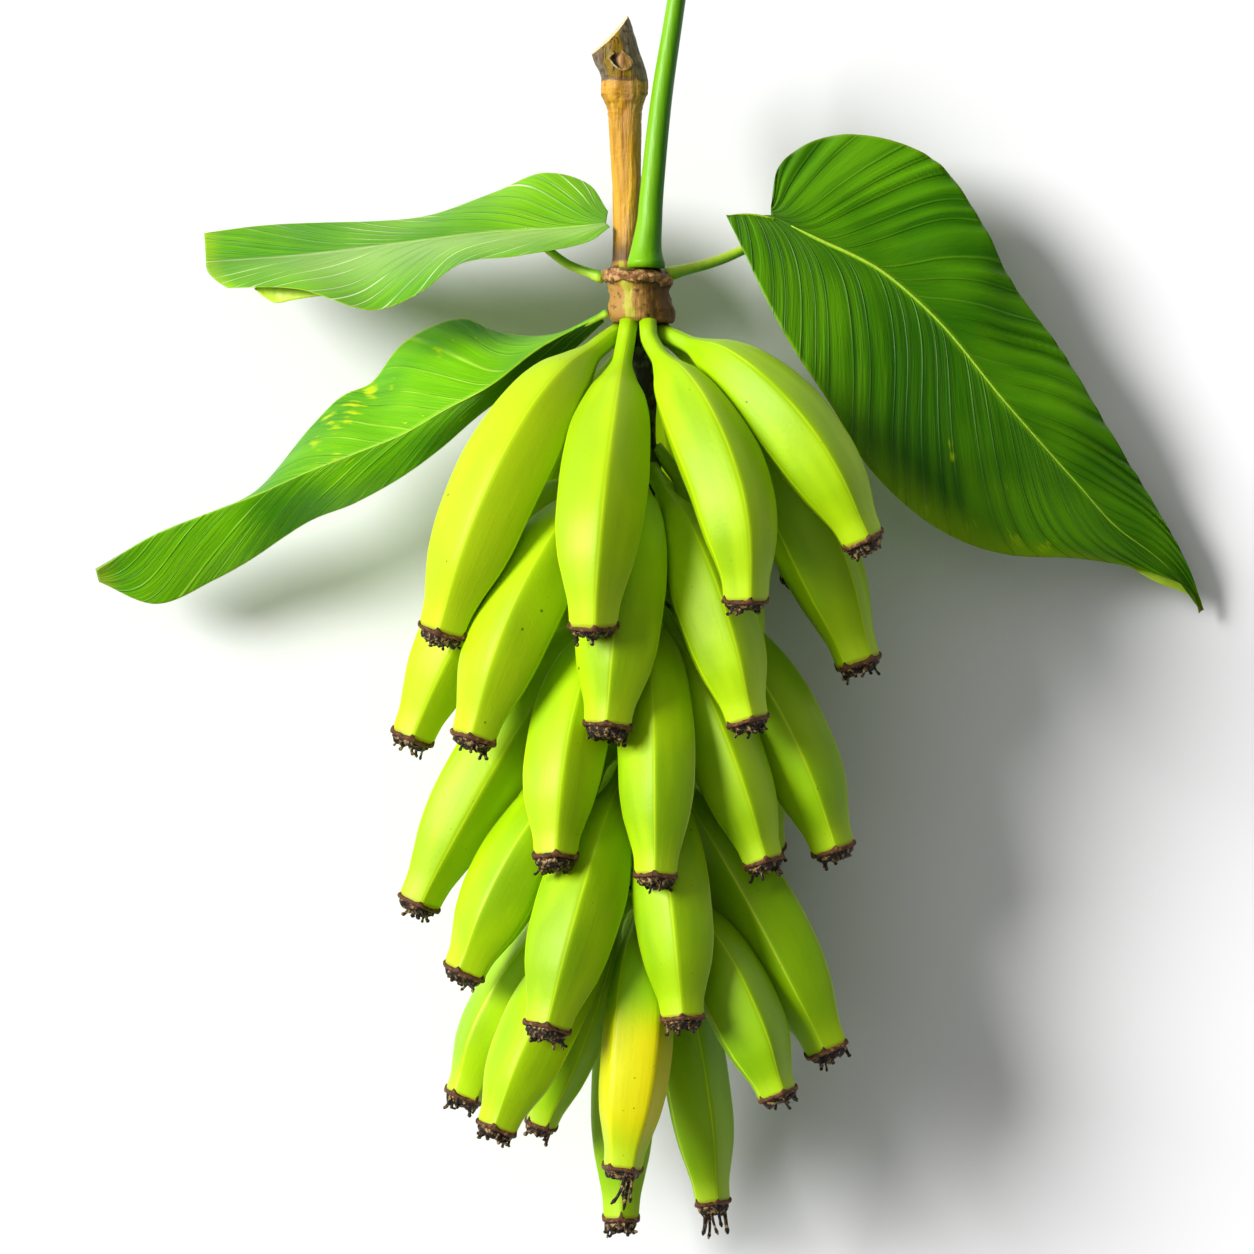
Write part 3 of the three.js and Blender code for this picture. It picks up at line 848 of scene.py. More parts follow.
@dataclass
class Fruit:
    """One banana: five ridges, a thin neck, and faces pressed flat by its neighbours."""

    name: str
    hand: int
    turn: float
    bend: Point
    tip: Point
    width: float
    drop: float = 0.0
    low: bool = False
    strands: float = 1.0
    roll: float = 0.0
    rings: int = 76
    tip_rings: int = 8
    sides: int = 60
    gap: float = 0.6
    stem_lean: float = 1 / 3
    root_depth: float = 7.0
    flatness: float = 0.64
    ridge_round: float = 0.04
    least_share: float = 0.3
    press_samples: int = 44
    press_reach: float = 60.0
    press_soft: float = 1.6
    swell_round: float = 0.012
    swell_along: float = 0.008
    # How the fruit's share of painted light rises with its height and falls toward its right.
    sun_by_height: float = 0.0018
    sun_by_side: float = 0.0035
    own_noise: float = 3.7
    stations: tuple[tuple[float, float], ...] = (
        (0, 0.21), (0.09, 0.22), (0.165, 0.4), (0.23, 0.64), (0.32, 0.83), (0.44, 0.95),
        (0.56, 1), (0.7, 0.97), (0.8, 0.87), (0.88, 0.7), (0.94, 0.575), (1, 0.53),
    )

    def __post_init__(self) -> None:
        """Works out the fruit's line from the stalk to its tip."""
        hand = HANDS[self.hand]
        turn = math.radians(self.turn)
        radial = np.array([math.sin(turn), 0, math.cos(turn)])
        root = radial * hand.radius
        root[1] = hand.y - (hand.stagger if self.low else 0)
        bend, tip = LAYOUT.seen((self.bend, self.tip))
        leave = root + (bend - root) * 2 / 3
        if self.drop:
            leave = root + radial * self.drop * self.stem_lean + np.array([0, -self.drop, 0])
        self.controls = np.array([root, leave, tip + (bend - tip) * 2 / 3, tip])
        self.across = unit(np.cross(bend - root, tip - root))
        self.times = np.linspace(0, 1, 401)
        steps = np.linalg.norm(np.diff(self.bezier(self.times), axis=0), axis=1)
        self.lengths = np.concatenate([[0], np.cumsum(steps)])

    def bezier(self, t: Array) -> Array:
        """Returns points of the line by its own parameter."""
        t = t[:, None]
        a, b, c, d = self.controls
        return (1 - t) ** 3 * a + 3 * (1 - t) ** 2 * t * b + 3 * (1 - t) * t * t * c + t ** 3 * d

    def frames(self, along: Array) -> tuple[Array, Array, Array, Array]:
        """Returns the middle and the three directions of the fruit's rings.

        Args:
            along: shares of the fruit's length.

        Returns:
            The middles, and the forward, outward and sideways directions.
        """
        t = np.interp(along * self.lengths[-1], self.lengths, self.times)[:, None]
        a, b, c, d = self.controls
        forward = unit(3 * (1 - t) ** 2 * (b - a) + 6 * (1 - t) * t * (c - b) + 3 * t * t * (d - c))
        outward = unit(np.cross(self.across, forward))
        sideways = np.cross(outward, forward)
        roll = math.radians(self.roll)
        turned = outward * math.cos(roll) + sideways * math.sin(roll)
        return self.bezier(t[:, 0]), forward, turned, np.cross(turned, forward)

    def radius_at(self, along: Array) -> Array:
        """Returns half the fruit's width at shares of its length."""
        places, shares = zip(*self.stations)
        return smooth_curve(places, shares, along) * self.width / 2

    def spheres(self) -> tuple[Array, Array]:
        """Returns the spheres that stand for the fruit where another one presses on it."""
        along = np.linspace(0, 1, self.press_samples)
        return self.frames(along)[0], self.radius_at(along)

    def outline(self, angles: Array) -> tuple[Array, Array]:
        """Returns the section's outline and how near each angle is to a ridge.

        Args:
            angles: angles round the section, from a ridge.

        Returns:
            The radius against the ridge's, and one on a ridge down to zero between ridges.
        """
        half = math.pi / RIDGES
        off = np.abs((angles + half) % (2 * half) - half)
        soft = np.sqrt(off ** 2 + self.ridge_round ** 2) - self.ridge_round
        straight = math.cos(half) / np.cos(half - soft)
        return 1 - self.flatness + self.flatness * straight, 1 - off / half

    def room(self, middles: Array, radii: Array, ways: Array, wanted: Array,
             others: tuple[Array, Array]) -> Array:
        """Returns how far points may stand from their ring's middle.

        Args:
            middles: each ring's middle.
            radii: each ring's radius.
            ways: the direction of each point from its ring's middle.
            wanted: how far each point would stand with no neighbour.
            others: middles and radii of the neighbours' spheres.

        Returns:
            The distances, shortened to the planes between this fruit and its neighbours.
        """
        other, other_radii = others
        near = np.linalg.norm(other[:, None] - middles[None], axis=2).min(axis=1) < self.press_reach
        other, other_radii = other[near], other_radii[near]
        apart = other[None] - middles[:, None]
        facing = np.einsum("nmk,njk->njm", apart, ways)
        reach = (apart ** 2).sum(axis=2) + radii[:, None] ** 2 - other_radii[None] ** 2
        planes = np.where(facing > 1e-6, reach[:, None, :] / (2 * np.maximum(facing, 1e-6)), 1e9)
        plane, soft = planes.min(axis=2) - self.gap / 2, self.press_soft
        share = np.clip(0.5 + 0.5 * (plane - wanted) / soft, 0, 1)
        room = plane * (1 - share) + wanted * share - soft * share * (1 - share)
        return np.maximum(room, radii[:, None] * self.least_share)

    def sun(self) -> float:
        """Returns the fruit's share of painted light: more high on the stalk and on its left side, toward the
        key light.
        """
        x, y = self.bezier(np.array([0.6]))[0, :2]
        return float(np.clip(0.5 + self.sun_by_height * y - self.sun_by_side * x, 0, 1))

    def build(self, number: int, others: tuple[Array, Array], finish: bpy.types.Material, slot: Slot) -> None:
        """Builds the fruit in place of its node.

        Args:
            number: the fruit's own number, for its small differences.
            others: middles and radii of the neighbours' spheres.
            finish: its material.
            slot: its slot in the record; not used.
        """
        draw = np.random.default_rng(400 + number)
        main, last = self.rings - self.tip_rings, self.tip_rings
        along = np.sort(np.concatenate([np.linspace(0, 1, main), np.linspace(0.955, 0.995, last)]))
        angles = turns(self.sides)
        middles, forward, outward, sideways = self.frames(along)
        ways = ways_round(outward, sideways, self.sides)
        radii, full = self.radius_at(along), along[:, None]
        shape, ridge = self.outline(angles)
        shape = 1 - (1 - shape) * smooth_curve([0, 0.1, 0.3, 1], [0.35, 0.45, 1, 1], full)
        swell = 1 + self.swell_round * np.sin(angles * 2 + draw.uniform(0, 6)) \
            + self.swell_along * np.sin(full * 17 + angles + draw.uniform(0, 6))
        room = self.room(middles, radii, ways, radii[:, None] * shape * swell, others)
        rings = middles[:, None] + ways * room[..., None]
        rings = np.concatenate([rings[:1] - forward[0] * self.root_depth, rings])
        parts = MeshParts()
        # The last value is the fruit's share of painted light and shade, for its peel.
        parts.add_rings(
            rings, along=np.vstack([[0.0], full]), ridge=ridge, round_x=np.cos(angles),
            round_y=np.sin(angles), fruit=number * self.own_noise, sun=self.sun(),
        )
        set_out(parts.build(f"{self.name}_peel", finish), self.name)


@dataclass
class WitheredFlower:
    """The dry remains on a fruit's tip: a pointed rim, a crumpled plug and a few curled stubs.

    Profiles are rows of the share of the tip's radius and the rise over the tip.
    """

    fruit: Fruit
    number: int
    sides: int = 64
    stub_sides: int = 7
    stub_rings: int = 9
    stubs: tuple[int, int] = (5, 9)
    rim: tuple[tuple[float, float], ...] = (
        (0.9, -0.4), (1.0, -0.9), (1.07, -0.5), (1.1, 0.2), (1.07, 0.9), (0.98, 1.3), (0.88, 1.2),
    )
    rim_hold: tuple[float, ...] = (0.6, 1, 1, 0.8, 0.4, 0.2, 0)
    plug: tuple[tuple[float, float], ...] = (
        (0.86, 0.6), (0.9, 1.6), (0.88, 2.7), (0.8, 3.8), (0.7, 4.8), (0.58, 5.4), (0.46, 5.0),
        (0.34, 4.0), (0.2, 3.4), (0.08, 3.2),
    )
    point_rise: float = 3.0
    crumple: float = 1.7

    def build(self, finish: bpy.types.Material) -> None:
        """Builds the flower's remains on the tip.

        Args:
            finish: their material.
        """
        draw = np.random.default_rng(900 + self.number)
        middle, forward, outward, sideways = (rows[0] for rows in self.fruit.frames(np.array([1.0])))
        tip_radius = self.fruit.radius_at(np.array([1.0]))[0]
        shape, ridge = self.fruit.outline(turns(self.sides))
        ways = ways_round(outward, sideways, self.sides)
        height = draw.uniform(0.75, 1.2)
        points = self.point_rise * draw.uniform(0.7, 1.3)

        def profile(rows: tuple[tuple[float, float], ...], tall: float) -> Array:
            """Returns the rings of a turned form on the tip."""
            share, rise = np.array(rows).T[..., None, None]
            return middle + ways * (tip_radius * shape[:, None] * share) + forward * (rise * tall)

        rim = profile(self.rim, 1.0)
        rim = rim - forward * (np.array(self.rim_hold)[:, None] * points * ridge ** 9)[..., None]
        rim = rim + forward * (0.5 * roughness_field(rim, 0.3, 5.0 * self.number))[..., None]
        plug = profile(self.plug, height)
        fade = self.crumple * np.linspace(0.1, 1, len(self.plug))[:, None] ** 0.6
        deep = roughness_field(plug, 0.32, 9.0 * self.number)
        wide = roughness_field(plug, 0.5, 7.0 * self.number)
        plug = plug + forward * (1.5 * fade * deep)[..., None] + ways * (fade * wide)[..., None]
        parts = MeshParts()
        parts.add_rings(rim, rim=1.0)
        parts.add_rings(plug, rim=0.0)
        for _ in range(draw.integers(*self.stubs)):
            self.add_stub(parts, draw, middle, (forward, outward, sideways), tip_radius)
        set_out(parts.build(f"{self.fruit.name}_flower", finish))

    def add_stub(self, parts: MeshParts, draw: np.random.Generator, middle: Array,
                 axes: tuple[Array, Array, Array], tip_radius: float) -> None:
        """Adds one curled, withered stub with a thicker end.

        Args:
            parts: the mesh that it is added to.
            draw: the flower's random numbers.
            middle: the tip's middle.
            axes: the fruit's direction at the tip and its two cross directions.
            tip_radius: half the tip's width.
        """
        forward, outward, sideways = axes
        angle = draw.uniform(0, 2 * math.pi)
        way = outward * math.cos(angle) + sideways * math.sin(angle)
        side = np.cross(forward, way)
        start = middle + way * tip_radius * draw.uniform(0.45, 0.8) + forward * 1.5
        length = draw.uniform(5.0, 8.5) * self.fruit.strands
        curl = draw.uniform(0.3, 2.4) / self.fruit.strands
        turn = draw.choice([-1, 1])
        t = np.linspace(0, 1, self.stub_rings)
        step = length / (self.stub_rings - 1)
        ahead, aside = (
            np.concatenate([[0], np.cumsum(part(curl * t ** 1.3))[:-1]]) * step for part in (np.cos, np.sin)
        )
        mix = draw.uniform(0, 1)
        bend = way * (1 - mix) + side * (mix * turn)
        line = start + forward * ahead[:, None] + bend * aside[:, None]
        thick = draw.uniform(0.75, 1.35) * (1 - 0.35 * t + 0.45 * bell((t - 0.92) / 0.12))
        thick[-1] *= 0.5
        across = unit(np.cross(bend, forward) + 1e-3 * side)
        over = unit(np.cross(np.gradient(line, axis=0), across)) * 0.8
        parts.add_tube(line, across, over, thick, self.stub_sides, rim=0.0)


@dataclass
class Bunch:
    """All fruits, hand by hand, with their withered flowers."""

    rows: tuple[tuple, ...] = (
        (1, -73, (-65, 112, 62), (-99.5, -2.5, 50), 46, {"roll": -16}),
        (1, -30, (-24, 93, 96), (-24.5, 0, 86), 46, {"drop": 26, "roll": -22}),
        (1, 12, (54, 127, 86), (51, 13, 78), 43, {"drop": 12, "roll": 16}),
        (1, 97, (71.5, 93.5, 6), (108.5, -18, 6), 44, {"low": True, "roll": -9}),
        (1, 62, (73, 122, 60), (110, 43, 54), 42, {"roll": 17}),
        (1, 127, (54, 121, -45), (79, 26, -75), 42, {}),
        (1, 167, (24, 113.5, -60), (31, 11, -90), 43, {}),
        (1, 207, (-22, 113.5, -60), (-25, 7.5, -90), 43, {}),
        (1, 247, (-53.5, 116, -42), (-83.5, 13.5, -62), 42, {}),
        (2, -95, (-71, 53.5, 18), (-115, -55.5, 14), 42, {"roll": 30}),
        (2, -55, (-52.5, 48.5, 48), (-84, -56, 57), 44, {"low": True, "roll": -6}),
        (2, -10, (-7, 36, 58), (-17, -50, 70), 45, {"roll": 29}),
        (2, 35, (30.5, 33.5, 50), (52.5, -47.5, 56), 41, {"low": True, "roll": 34}),
        (2, 85, (43, 44, -12), (52, -24, -42), 35, {}),
        (2, 140, (36.5, 43.5, -52), (31.5, -54, -90), 41, {"low": True}),
        (2, 187, (-3.5, 43.5, -55), (-7, -55.5, -91), 42, {}),
        (2, 230, (-41, 43.5, -42), (-56, -49, -84), 42, {"low": True}),
        (3, -95, (-66, -36.5, 15), (-112, -138, 15), 42, {"roll": 33}),
        (3, -45, (-41, -26.5, 44), (-43.5, -115.5, 63.5), 42, {"low": True, "roll": 16}),
        (3, 0, (10.5, -29, 48), (7, -125, 64), 40, {"roll": 8}),
        (3, 45, (31.5, -31.5, 24), (60.5, -118, 36), 39, {"low": True, "roll": 4}),
        (3, 90, (60, -6.5, 8), (95.5, -111.5, 10), 43, {"roll": 35}),
        (3, 135, (45, -31.5, -42), (61.5, -111.5, -76), 41, {"low": True}),
        (3, 180, (3, -31.5, -50), (10.5, -123.5, -90), 42, {}),
        (3, 225, (-42, -31.5, -42), (-66, -116.5, -76), 42, {"low": True}),
        (4, -90, (-51, -86.5, 34), (-88.5, -173, 36), 42, {"roll": -17}),
        (4, -45, (-25, -111.5, 46), (-47.5, -200.5, 60), 45, {"low": True, "roll": -26}),
        (4, 15, (15, -111.5, 42), (20.5, -196, 54), 41, {"roll": 13}),
        (4, 75, (53, -119, 4), (93, -211.5, 8), 42, {"low": True, "roll": 5}),
        (4, 130, (42, -111.5, -40), (53, -188, -82), 40, {}),
        (4, 180, (4, -111.5, -50), (5, -198, -90), 42, {"low": True}),
        (4, 230, (-38.5, -111.5, -40), (-60, -191.5, -80), 41, {}),
        (5, 60, (35, -149, 26), (67.5, -234, 32), 39, {"roll": 15}),
        (5, -85, (-57, -154, -4), (-89, -235, 0), 39, {"roll": 31}),
        (5, -50, (-41, -169, 30), (-72.5, -251, 38), 40, {"low": True, "roll": -3}),
        (5, -120, (-22, -166.5, -12), (-51, -249, -14), 32, {"low": True}),
        (5, 0, (2, -186.5, 37), (-10, -271, 44), 37.5, {"strands": 2.2, "roll": -27}),
        (5, 120, (23, -191.5, -12), (35, -288, -5), 35, {"low": True, "strands": 2.2, "roll": -18}),
        (5, 180, (-10, -191.5, -52), (-10.5, -296.5, -38), 35, {"roll": -11}),
    )
    riper: str = "banana_37"

    def fruits(self) -> list[Fruit]:
        """Returns the fruits of the rows, named in order."""
        return [Fruit(f"banana_{i:02d}", *row, **special) for i, (*row, special) in enumerate(self.rows, 1)]

    def build(self) -> None:
        """Builds every fruit and its flower."""
        green = PeelFinish(
            "green_peel", deep=paint(134, 178, 0), light=paint(166, 205, 0),
            ridge=paint(204, 230, 30), neck=paint(144, 194, 0),
        ).build()
        # The riper fruit's painted light and painted shade tones stay close to its own yellow.
        yellow = PeelFinish(
            "ripening_peel", deep=paint(182, 192, 0), light=paint(214, 204, 0),
            ridge=paint(230, 226, 40), neck=paint(140, 190, 0), ends=paint(138, 188, 0),
            sunned=paint(214, 204, 0), painted_shade_tone=paint(206, 200, 0),
        ).build()
        withered = WitheredFinish().build()
        fruits = self.fruits()
        spheres = [fruit.spheres() for fruit in fruits]
        for i, fruit in enumerate(fruits):
            others = tuple(np.concatenate(part) for part in zip(*(spheres[:i] + spheres[i + 1:])))
            ripe = fruit.name == self.riper
            fruit.build(i + 1, others, yellow if ripe else green, Slot.RIPENING if ripe else Slot.PEEL)
            WitheredFlower(fruit, i + 1).build(withered)


@dataclass
class Leaf:
    """A blade on its own stalk, with a raised midrib and side veins that wave its surface."""

    name: str
    midrib: tuple[Point, ...]
    upper: tuple[Point, ...]
    lower: tuple[Point, ...]
    wave: float
    petiole: tuple[Point, ...]
    petiole_radius: float
    rib_from: float
    finish: LeafFinish
    slant: float = 0.2
    corrugation: float = 0.25
    camber: float = 2.5
    rib_radius: float = 0.8
    stalk_scale: float = 1.0
    tip_bulge: float = 0.0
    tip_from: float = 0.88
    vein_bend: float = 0.9
    spots: tuple[Point, ...] = ()
    stalk_drop: float = 3.0
    stalk_sides: int = 14
    folds: tuple[tuple[Point, ...], ...] = ()
    fold_width: float = 6.0
    fold_rings: int = 30
    fold_columns: int = 7
    fold_drop: float = 1.5
    fold_thickness: float = 0.6
    pleats: tuple[float, float] = (1.0, 1.0)
    ripples: int = 4
    thickness: float = 1.0
    stations: int = 190
    columns: int = 34
    column_spread: float = 1.15
    cad_columns: int = 3

    def blade_points(self) -> tuple[Array, dict[str, Array]]:
        """Returns the blade's upper surface and its point values.

        Returns:
            A grid of points from base to tip and margin to margin, and the values by name.
        """
        count = self.stations + 1
        lines = (self.midrib, self.upper, self.lower)
        middle, upper, lower = (even_curve(LAYOUT.seen(line), count) for line in lines)
        across = np.linspace(-1, 1, 2 * self.columns + 1)
        across = np.sign(across) * np.abs(across) ** self.column_spread
        along, across = np.meshgrid(np.linspace(0, 1, count), across, indexing="ij")
        out = np.abs(across)
        edge = np.where(across[..., None] < 0, upper[:, None], lower[:, None])
        points = middle[:, None] * (1 - out[..., None]) + edge * out[..., None]
        ripple = self.wave * out * np.sin(along * self.ripples * 2 * math.pi + across * self.cad_columns)
        beat = along - self.slant * out ** self.vein_bend
        beat += 0.011 * np.sin(beat * 23 + across) + 0.006 * np.sin(beat * 61)
        strong = 0.55 + 0.3 * np.sin(beat * 41 + 1) + 0.25 * np.sin(beat * 17)
        groove = 0.5 - np.abs((beat * self.finish.veins + 0.5) % 1 - 0.5)
        fade = np.clip(out * 2.5, 0, 1) * (0.35 + out ** 1.5) * np.clip((1 - along) * 8, 0, 1)
        fade *= np.where(across < 0, *self.pleats)
        points[..., 2] += ripple + self.corrugation * fade * strong * np.cos(groove * 2 * math.pi) \
            + self.camber * np.sin(math.pi * out) * np.sin(math.pi * along)
        near_tip = np.clip((along - self.tip_from) / (1 - self.tip_from), 0, 1) ** 2
        bulge = self.tip_bulge * 4 * out * (1 - out) * (across > 0) * near_tip
        points += bulge[..., None] * unit(middle[-1] - middle[-12])
        patch = np.zeros_like(along)
        for x, y, size in self.spots:
            patch = np.maximum(patch, bell(np.linalg.norm(points[..., :2] - (x, y), axis=-1) / size))
        return points, {"along": along, "across": across, "beat": beat, "patch": patch}

    def build(self) -> None:
        """Builds the blade in place of its node, and the rib with the leaf's own stalk."""
        top, values = self.blade_points()
        rows, columns = top.shape[:2]
        count = rows * columns
        number = np.arange(count).reshape(rows, columns)
        faces: list[tuple[int, ...]] = []
        for a in number[:-1, :-1].ravel().tolist():
            b, c, d = a + 1, a + 1 + columns, a + columns
            faces += [(a, b, c, d), (count + a, count + d, count + c, count + b)]
        edges = (number[:, 0], number[-1, 1:], number[-2::-1, -1], number[0, -2:0:-1])
        ring = np.concatenate(edges).tolist()
        faces += [(a, b, count + b, count + a) for a, b in zip(ring, ring[1:] + ring[:1])]
        twice = {name: np.tile(numbers.ravel(), 2) for name, numbers in values.items()}
        under = top - np.array([0, 0, self.thickness])
        parts = MeshParts()
        parts.add(np.vstack([top.reshape(-1, 3), under.reshape(-1, 3)]), faces,
                  under=np.repeat([0.0, 1.0], count), **twice)
        set_out(parts.build(f"{self.name}_blade", self.finish.build()), self.name)
        self.build_rib(top[:, columns // 2])

    def build_rib(self, crest: Array) -> None:
        """Builds the midrib that stands up from the blade, and the leaf's stalk under it.

        Args:
            crest: the blade's points along its midrib.
        """
        # The rib and the leaf's stalk have painted shade round one side.
        finish = StemFinish(f"{self.name}_rib", paint(190, 222, 60), paint(104, 172, 20)).build()
        start = int(self.rib_from * (len(crest) - 1))
        rib = even_curve(crest[start::6] - np.array([0, 0, 0.25]), 120)
        along = np.linspace(0, 1, len(rib))
        parts = MeshParts()
        taper = smooth_curve([0, 0.05, 0.3, 1], [0.3, 1, 0.7, 0.15], along)
        self.add_stem(parts, rib, self.rib_radius * taper)
        stem = even_curve(LAYOUT.seen(self.petiole), 40)
        share = np.linspace(0, 1, len(stem))
        stem[:, 2] -= self.stalk_drop * share ** 3
        stem = np.vstack([stem[0] + (stem[0] - stem[1]) * 2.5, stem])
        share = np.append(0, share)
        radius = self.petiole_radius * self.stalk_scale * (1 + 0.25 * bell(share / 0.08) - 0.15 * share)
        self.add_stem(parts, stem, radius)
        for fold in self.folds:
            self.add_fold(parts, fold)
        set_out(parts.build(f"{self.name}_rib", finish))

    def add_stem(self, parts: MeshParts, line: Array, radius: Array) -> None:
        """Adds a round stem.

        Args:
            parts: the mesh that it is added to.
            line: the points of its middle.
            radius: half its width at each point.
        """
        forward = unit(np.gradient(line, axis=0))
        side = unit(np.cross(forward, np.array([0, 0, 1.0])))
        turn_x = np.cos(turns(self.stalk_sides))
        parts.add_tube(line, side, np.cross(side, forward), radius, self.stalk_sides, round_x=turn_x)

    def add_fold(self, parts: MeshParts, fold: tuple[Point, ...]) -> None:
        """Adds a place where the margin turns under and shows its yellow underside.

        Args:
            parts: the mesh that it is added to.
            fold: points of the fold's outer edge, from end to end.
        """
        outer = even_curve(LAYOUT.seen(fold), self.fold_rings)
        inward = unit(np.cross(np.array([0, 0, 1.0]), np.gradient(outer, axis=0)))
        width = self.fold_width * np.sin(math.pi * np.linspace(0.02, 0.98, self.fold_rings)) ** 0.6
        inner = outer + inward * width[:, None]
        across = np.linspace(0, 1, self.fold_columns)[None, :, None]
        sheet = inner[:, None] * (1 - across) + outer[:, None] * across
        sheet[..., 2] -= self.fold_drop * np.sin(math.pi * across[..., 0])
        under = sheet[:, ::-1] - np.array([0, 0, self.fold_thickness])
        # A round_x of -1 puts the fold at the lit end of the painted shade.
        parts.add_rings(np.concatenate([sheet, under], axis=1), round_x=-1.0)


@dataclass
class Stalk:
    """The woody stub, the knot ring, the crown and the stalk inside the bunch.

    Rows are x, y, height, half the width, and how far the section leans along y.
    """

    sides: int = 96
    rings: int = 620
    face_rings: int = 9
    face_level: float = 310.0
    wave: float = 0.05
    lobes: int = 3
    hand_swell: float = 3.2
    hand_reach: float = 8.0
    hands_from: float = 140.0
    crown: tuple[float, float] = (151, 178)
    collar: float = 262.0
    scar_at: tuple[float, float] = (-10.4, 282.4)
    scar_size: tuple[float, float] = (6.6, 5.2)
    cut_tilt: float = 3.4
    cut_from: float = 288.0
    ring_at: float = 175.0
    bump_at: tuple[float, float] = (-13, 173)
    rows: tuple[tuple[float, ...], ...] = (
        (-16.5, 297, -5, 9.2, 9.6), (-13.3, 286, -5, 11.6, 2), (-9.3, 275, -5, 11.6, 0),
        (-9.3, 267, -5, 11.4, 0), (-8.8, 260, -5, 8.9, 0), (-8.3, 243, -5, 7.8, 0),
        (-7.3, 222, -5, 7.2, 0), (-7.8, 196, -5, 6.6, 0), (-7.5, 180.6, -5, 8, 0),
        (-3.5, 178, -1, 15.8, 0), (-2.5, 173, 0, 16.4, 0), (-1.5, 166, 0, 15, 0),
        (-1, 158, 0, 16.6, 0), (0, 152.5, 0, 15.6, 0), (0, 150.5, 0, 9.5, 0),
        (0, 110, 0, 7.5, 0), (0, 84, 0, 6.6, 0), (0, 18, 0, 6, 0), (0, -59, 0, 5.4, 0),
        (0, -128, 0, 4.6, 0), (0, -150, -2, 2.6, 0),
    )

    def build(self) -> None:
        """Builds the stalk in place of its node."""
        line = even_curve(self.rows, self.rings, 60)
        height, width = line[:, 1:2], line[:, 3:4]
        angles = turns(self.sides)
        cos, sin = np.cos(angles), np.sin(angles)
        even = np.ones((self.rings, self.sides))
        ways = np.stack([cos * even, line[:, 4:5] / width * cos, sin * even], axis=-1)
        radius = width * (1 + self.wave * np.sin(self.lobes * angles + height * 0.05))
        for hand in HANDS.values():
            off = (height - hand.y + hand.stagger / 2) / self.hand_reach
            radius += self.hand_swell * bell(off) * (height < self.hands_from)
        base = line[:, None, :3] + ways * radius[..., None]
        scar = self.scar_mask(base) * (sin > 0.2)
        rings = base + ways * self.relief(base, sin, scar)[..., None]
        cut = np.clip((height - self.cut_from) / (height[0] - self.cut_from), 0, 1) ** 3
        rings[..., 1] -= self.cut_tilt * cut * np.clip(sin + 0.3, 0, None)
        middle, shares = rings[0].mean(axis=0), np.linspace(0.05, 0.97, self.face_rings)
        rings = np.concatenate([middle + (rings[0] - middle) * shares[:, None, None], rings])
        face = np.repeat([1.0, 0.0], [self.face_rings, self.rings])
        down = np.concatenate([np.full((self.face_rings, 1), self.face_level), height])
        scar = np.concatenate([np.zeros((self.face_rings, self.sides)), scar])
        parts = MeshParts()
        parts.add_rings(rings, down=down, face=face[:, None], round_x=cos, round_y=sin, scar=scar)
        set_out(parts.build("stalk_bark", BarkFinish().build()), "stalk")

    def relief(self, base: Array, sin: Array, scar: Array) -> Array:
        """Returns how far the bark stands out.

        Args:
            base: the smooth stalk's points, ring by ring.
            sin: how far each side looks up.
            scar: the bud scar's mask.

        Returns:
            One height for each point: fibres, the ring, the crown's lumps, the scar and wrinkles.
        """
        x, y = base[..., 0], base[..., 1]
        lump = roughness_field(base, 0.22, 11.0)
        crinkle = 1.6 * roughness_field(base, (0.5, 0.3, 0.5), 17.0)
        level = y + crinkle + 0.09 * (x + 2) - self.ring_at
        crown = (y > self.crown[0]) & (y < self.crown[1])
        lift = 0.35 * roughness_field(base, (0.5, 0.06, 0.5), 3.0)
        lift += bell(level / 2.6) * (1.1 * lump + 1.2) + crown * 0.6 * lump - 0.9 * bell((level + 6) / 3)
        bump = bell((x - self.bump_at[0]) / 5) * bell((y - self.bump_at[1]) / 6)
        lift += bump * (sin > 0) * (1.6 + lump)
        hollow = np.clip((self.scar_at[0] - x) / 2, 0, 1)
        lift += 0.8 * np.sin(np.clip(scar * 1.5, 0, 1) * math.pi)
        lift -= 1.6 * np.clip(scar * 2 - 0.5, 0, 1) * hollow
        wrinkle = roughness_field(base, (0.12, 0.9, 0.12), 21.0)
        return lift + 0.55 * wrinkle * bell((y - self.collar) / 8)

    def scar_mask(self, points: Array) -> Array:
        """Returns one at the bud scar's middle, falling to zero at its ragged outline."""
        across, along = points[..., 0] - self.scar_at[0], points[..., 1] - self.scar_at[1]
        x = np.abs(across) / self.scar_size[0] + 0.1 * roughness_field(points, 0.25, 5.0)
        y = np.abs(along + 0.2 * across) / self.scar_size[1]
        return np.clip(1.5 * (1 - np.abs(x) ** 1.35 - y ** 1.35), 0, 1)


@dataclass
class LeafStem:
    """The green stem beside the stub, flared at its foot and cut at its top.

    Rows are x, y, height and half the width.
    """

    sides: int = 48
    rings: int = 160
    foot: Point = (0, 2.5, 1.5)
    rows: tuple[tuple[float, ...], ...] = (
        (2, 181.2, 12, 9.4), (2, 187, 11, 7.9), (3.8, 203, 9, 6.3), (4.6, 214, 8, 6),
        (9.5, 262, 6, 5.4), (15.5, 302, 5, 4.8), (19.2, 326, 5, 4.5),
    )

    def build(self) -> None:
        """Builds the stem in place of its node."""
        line = even_curve(self.rows, self.rings)
        line = np.vstack([line[0] - np.array([*self.foot, 0]), line])
        across, over = np.array([1.0, 0, 0]), np.array([0, 0, 1.0])
        parts = MeshParts()
        parts.add_tube(line[:, :3], across, over, line[:, 3], self.sides, round_x=np.cos(turns(self.sides)))
        # Painted shade darkens the stem toward its right side.
        finish = StemFinish("leaf_stem_skin", paint(116, 174, 0), paint(46, 112, 0)).build()
        set_out(parts.build("leaf_stem_skin", finish), "leaf_stem")


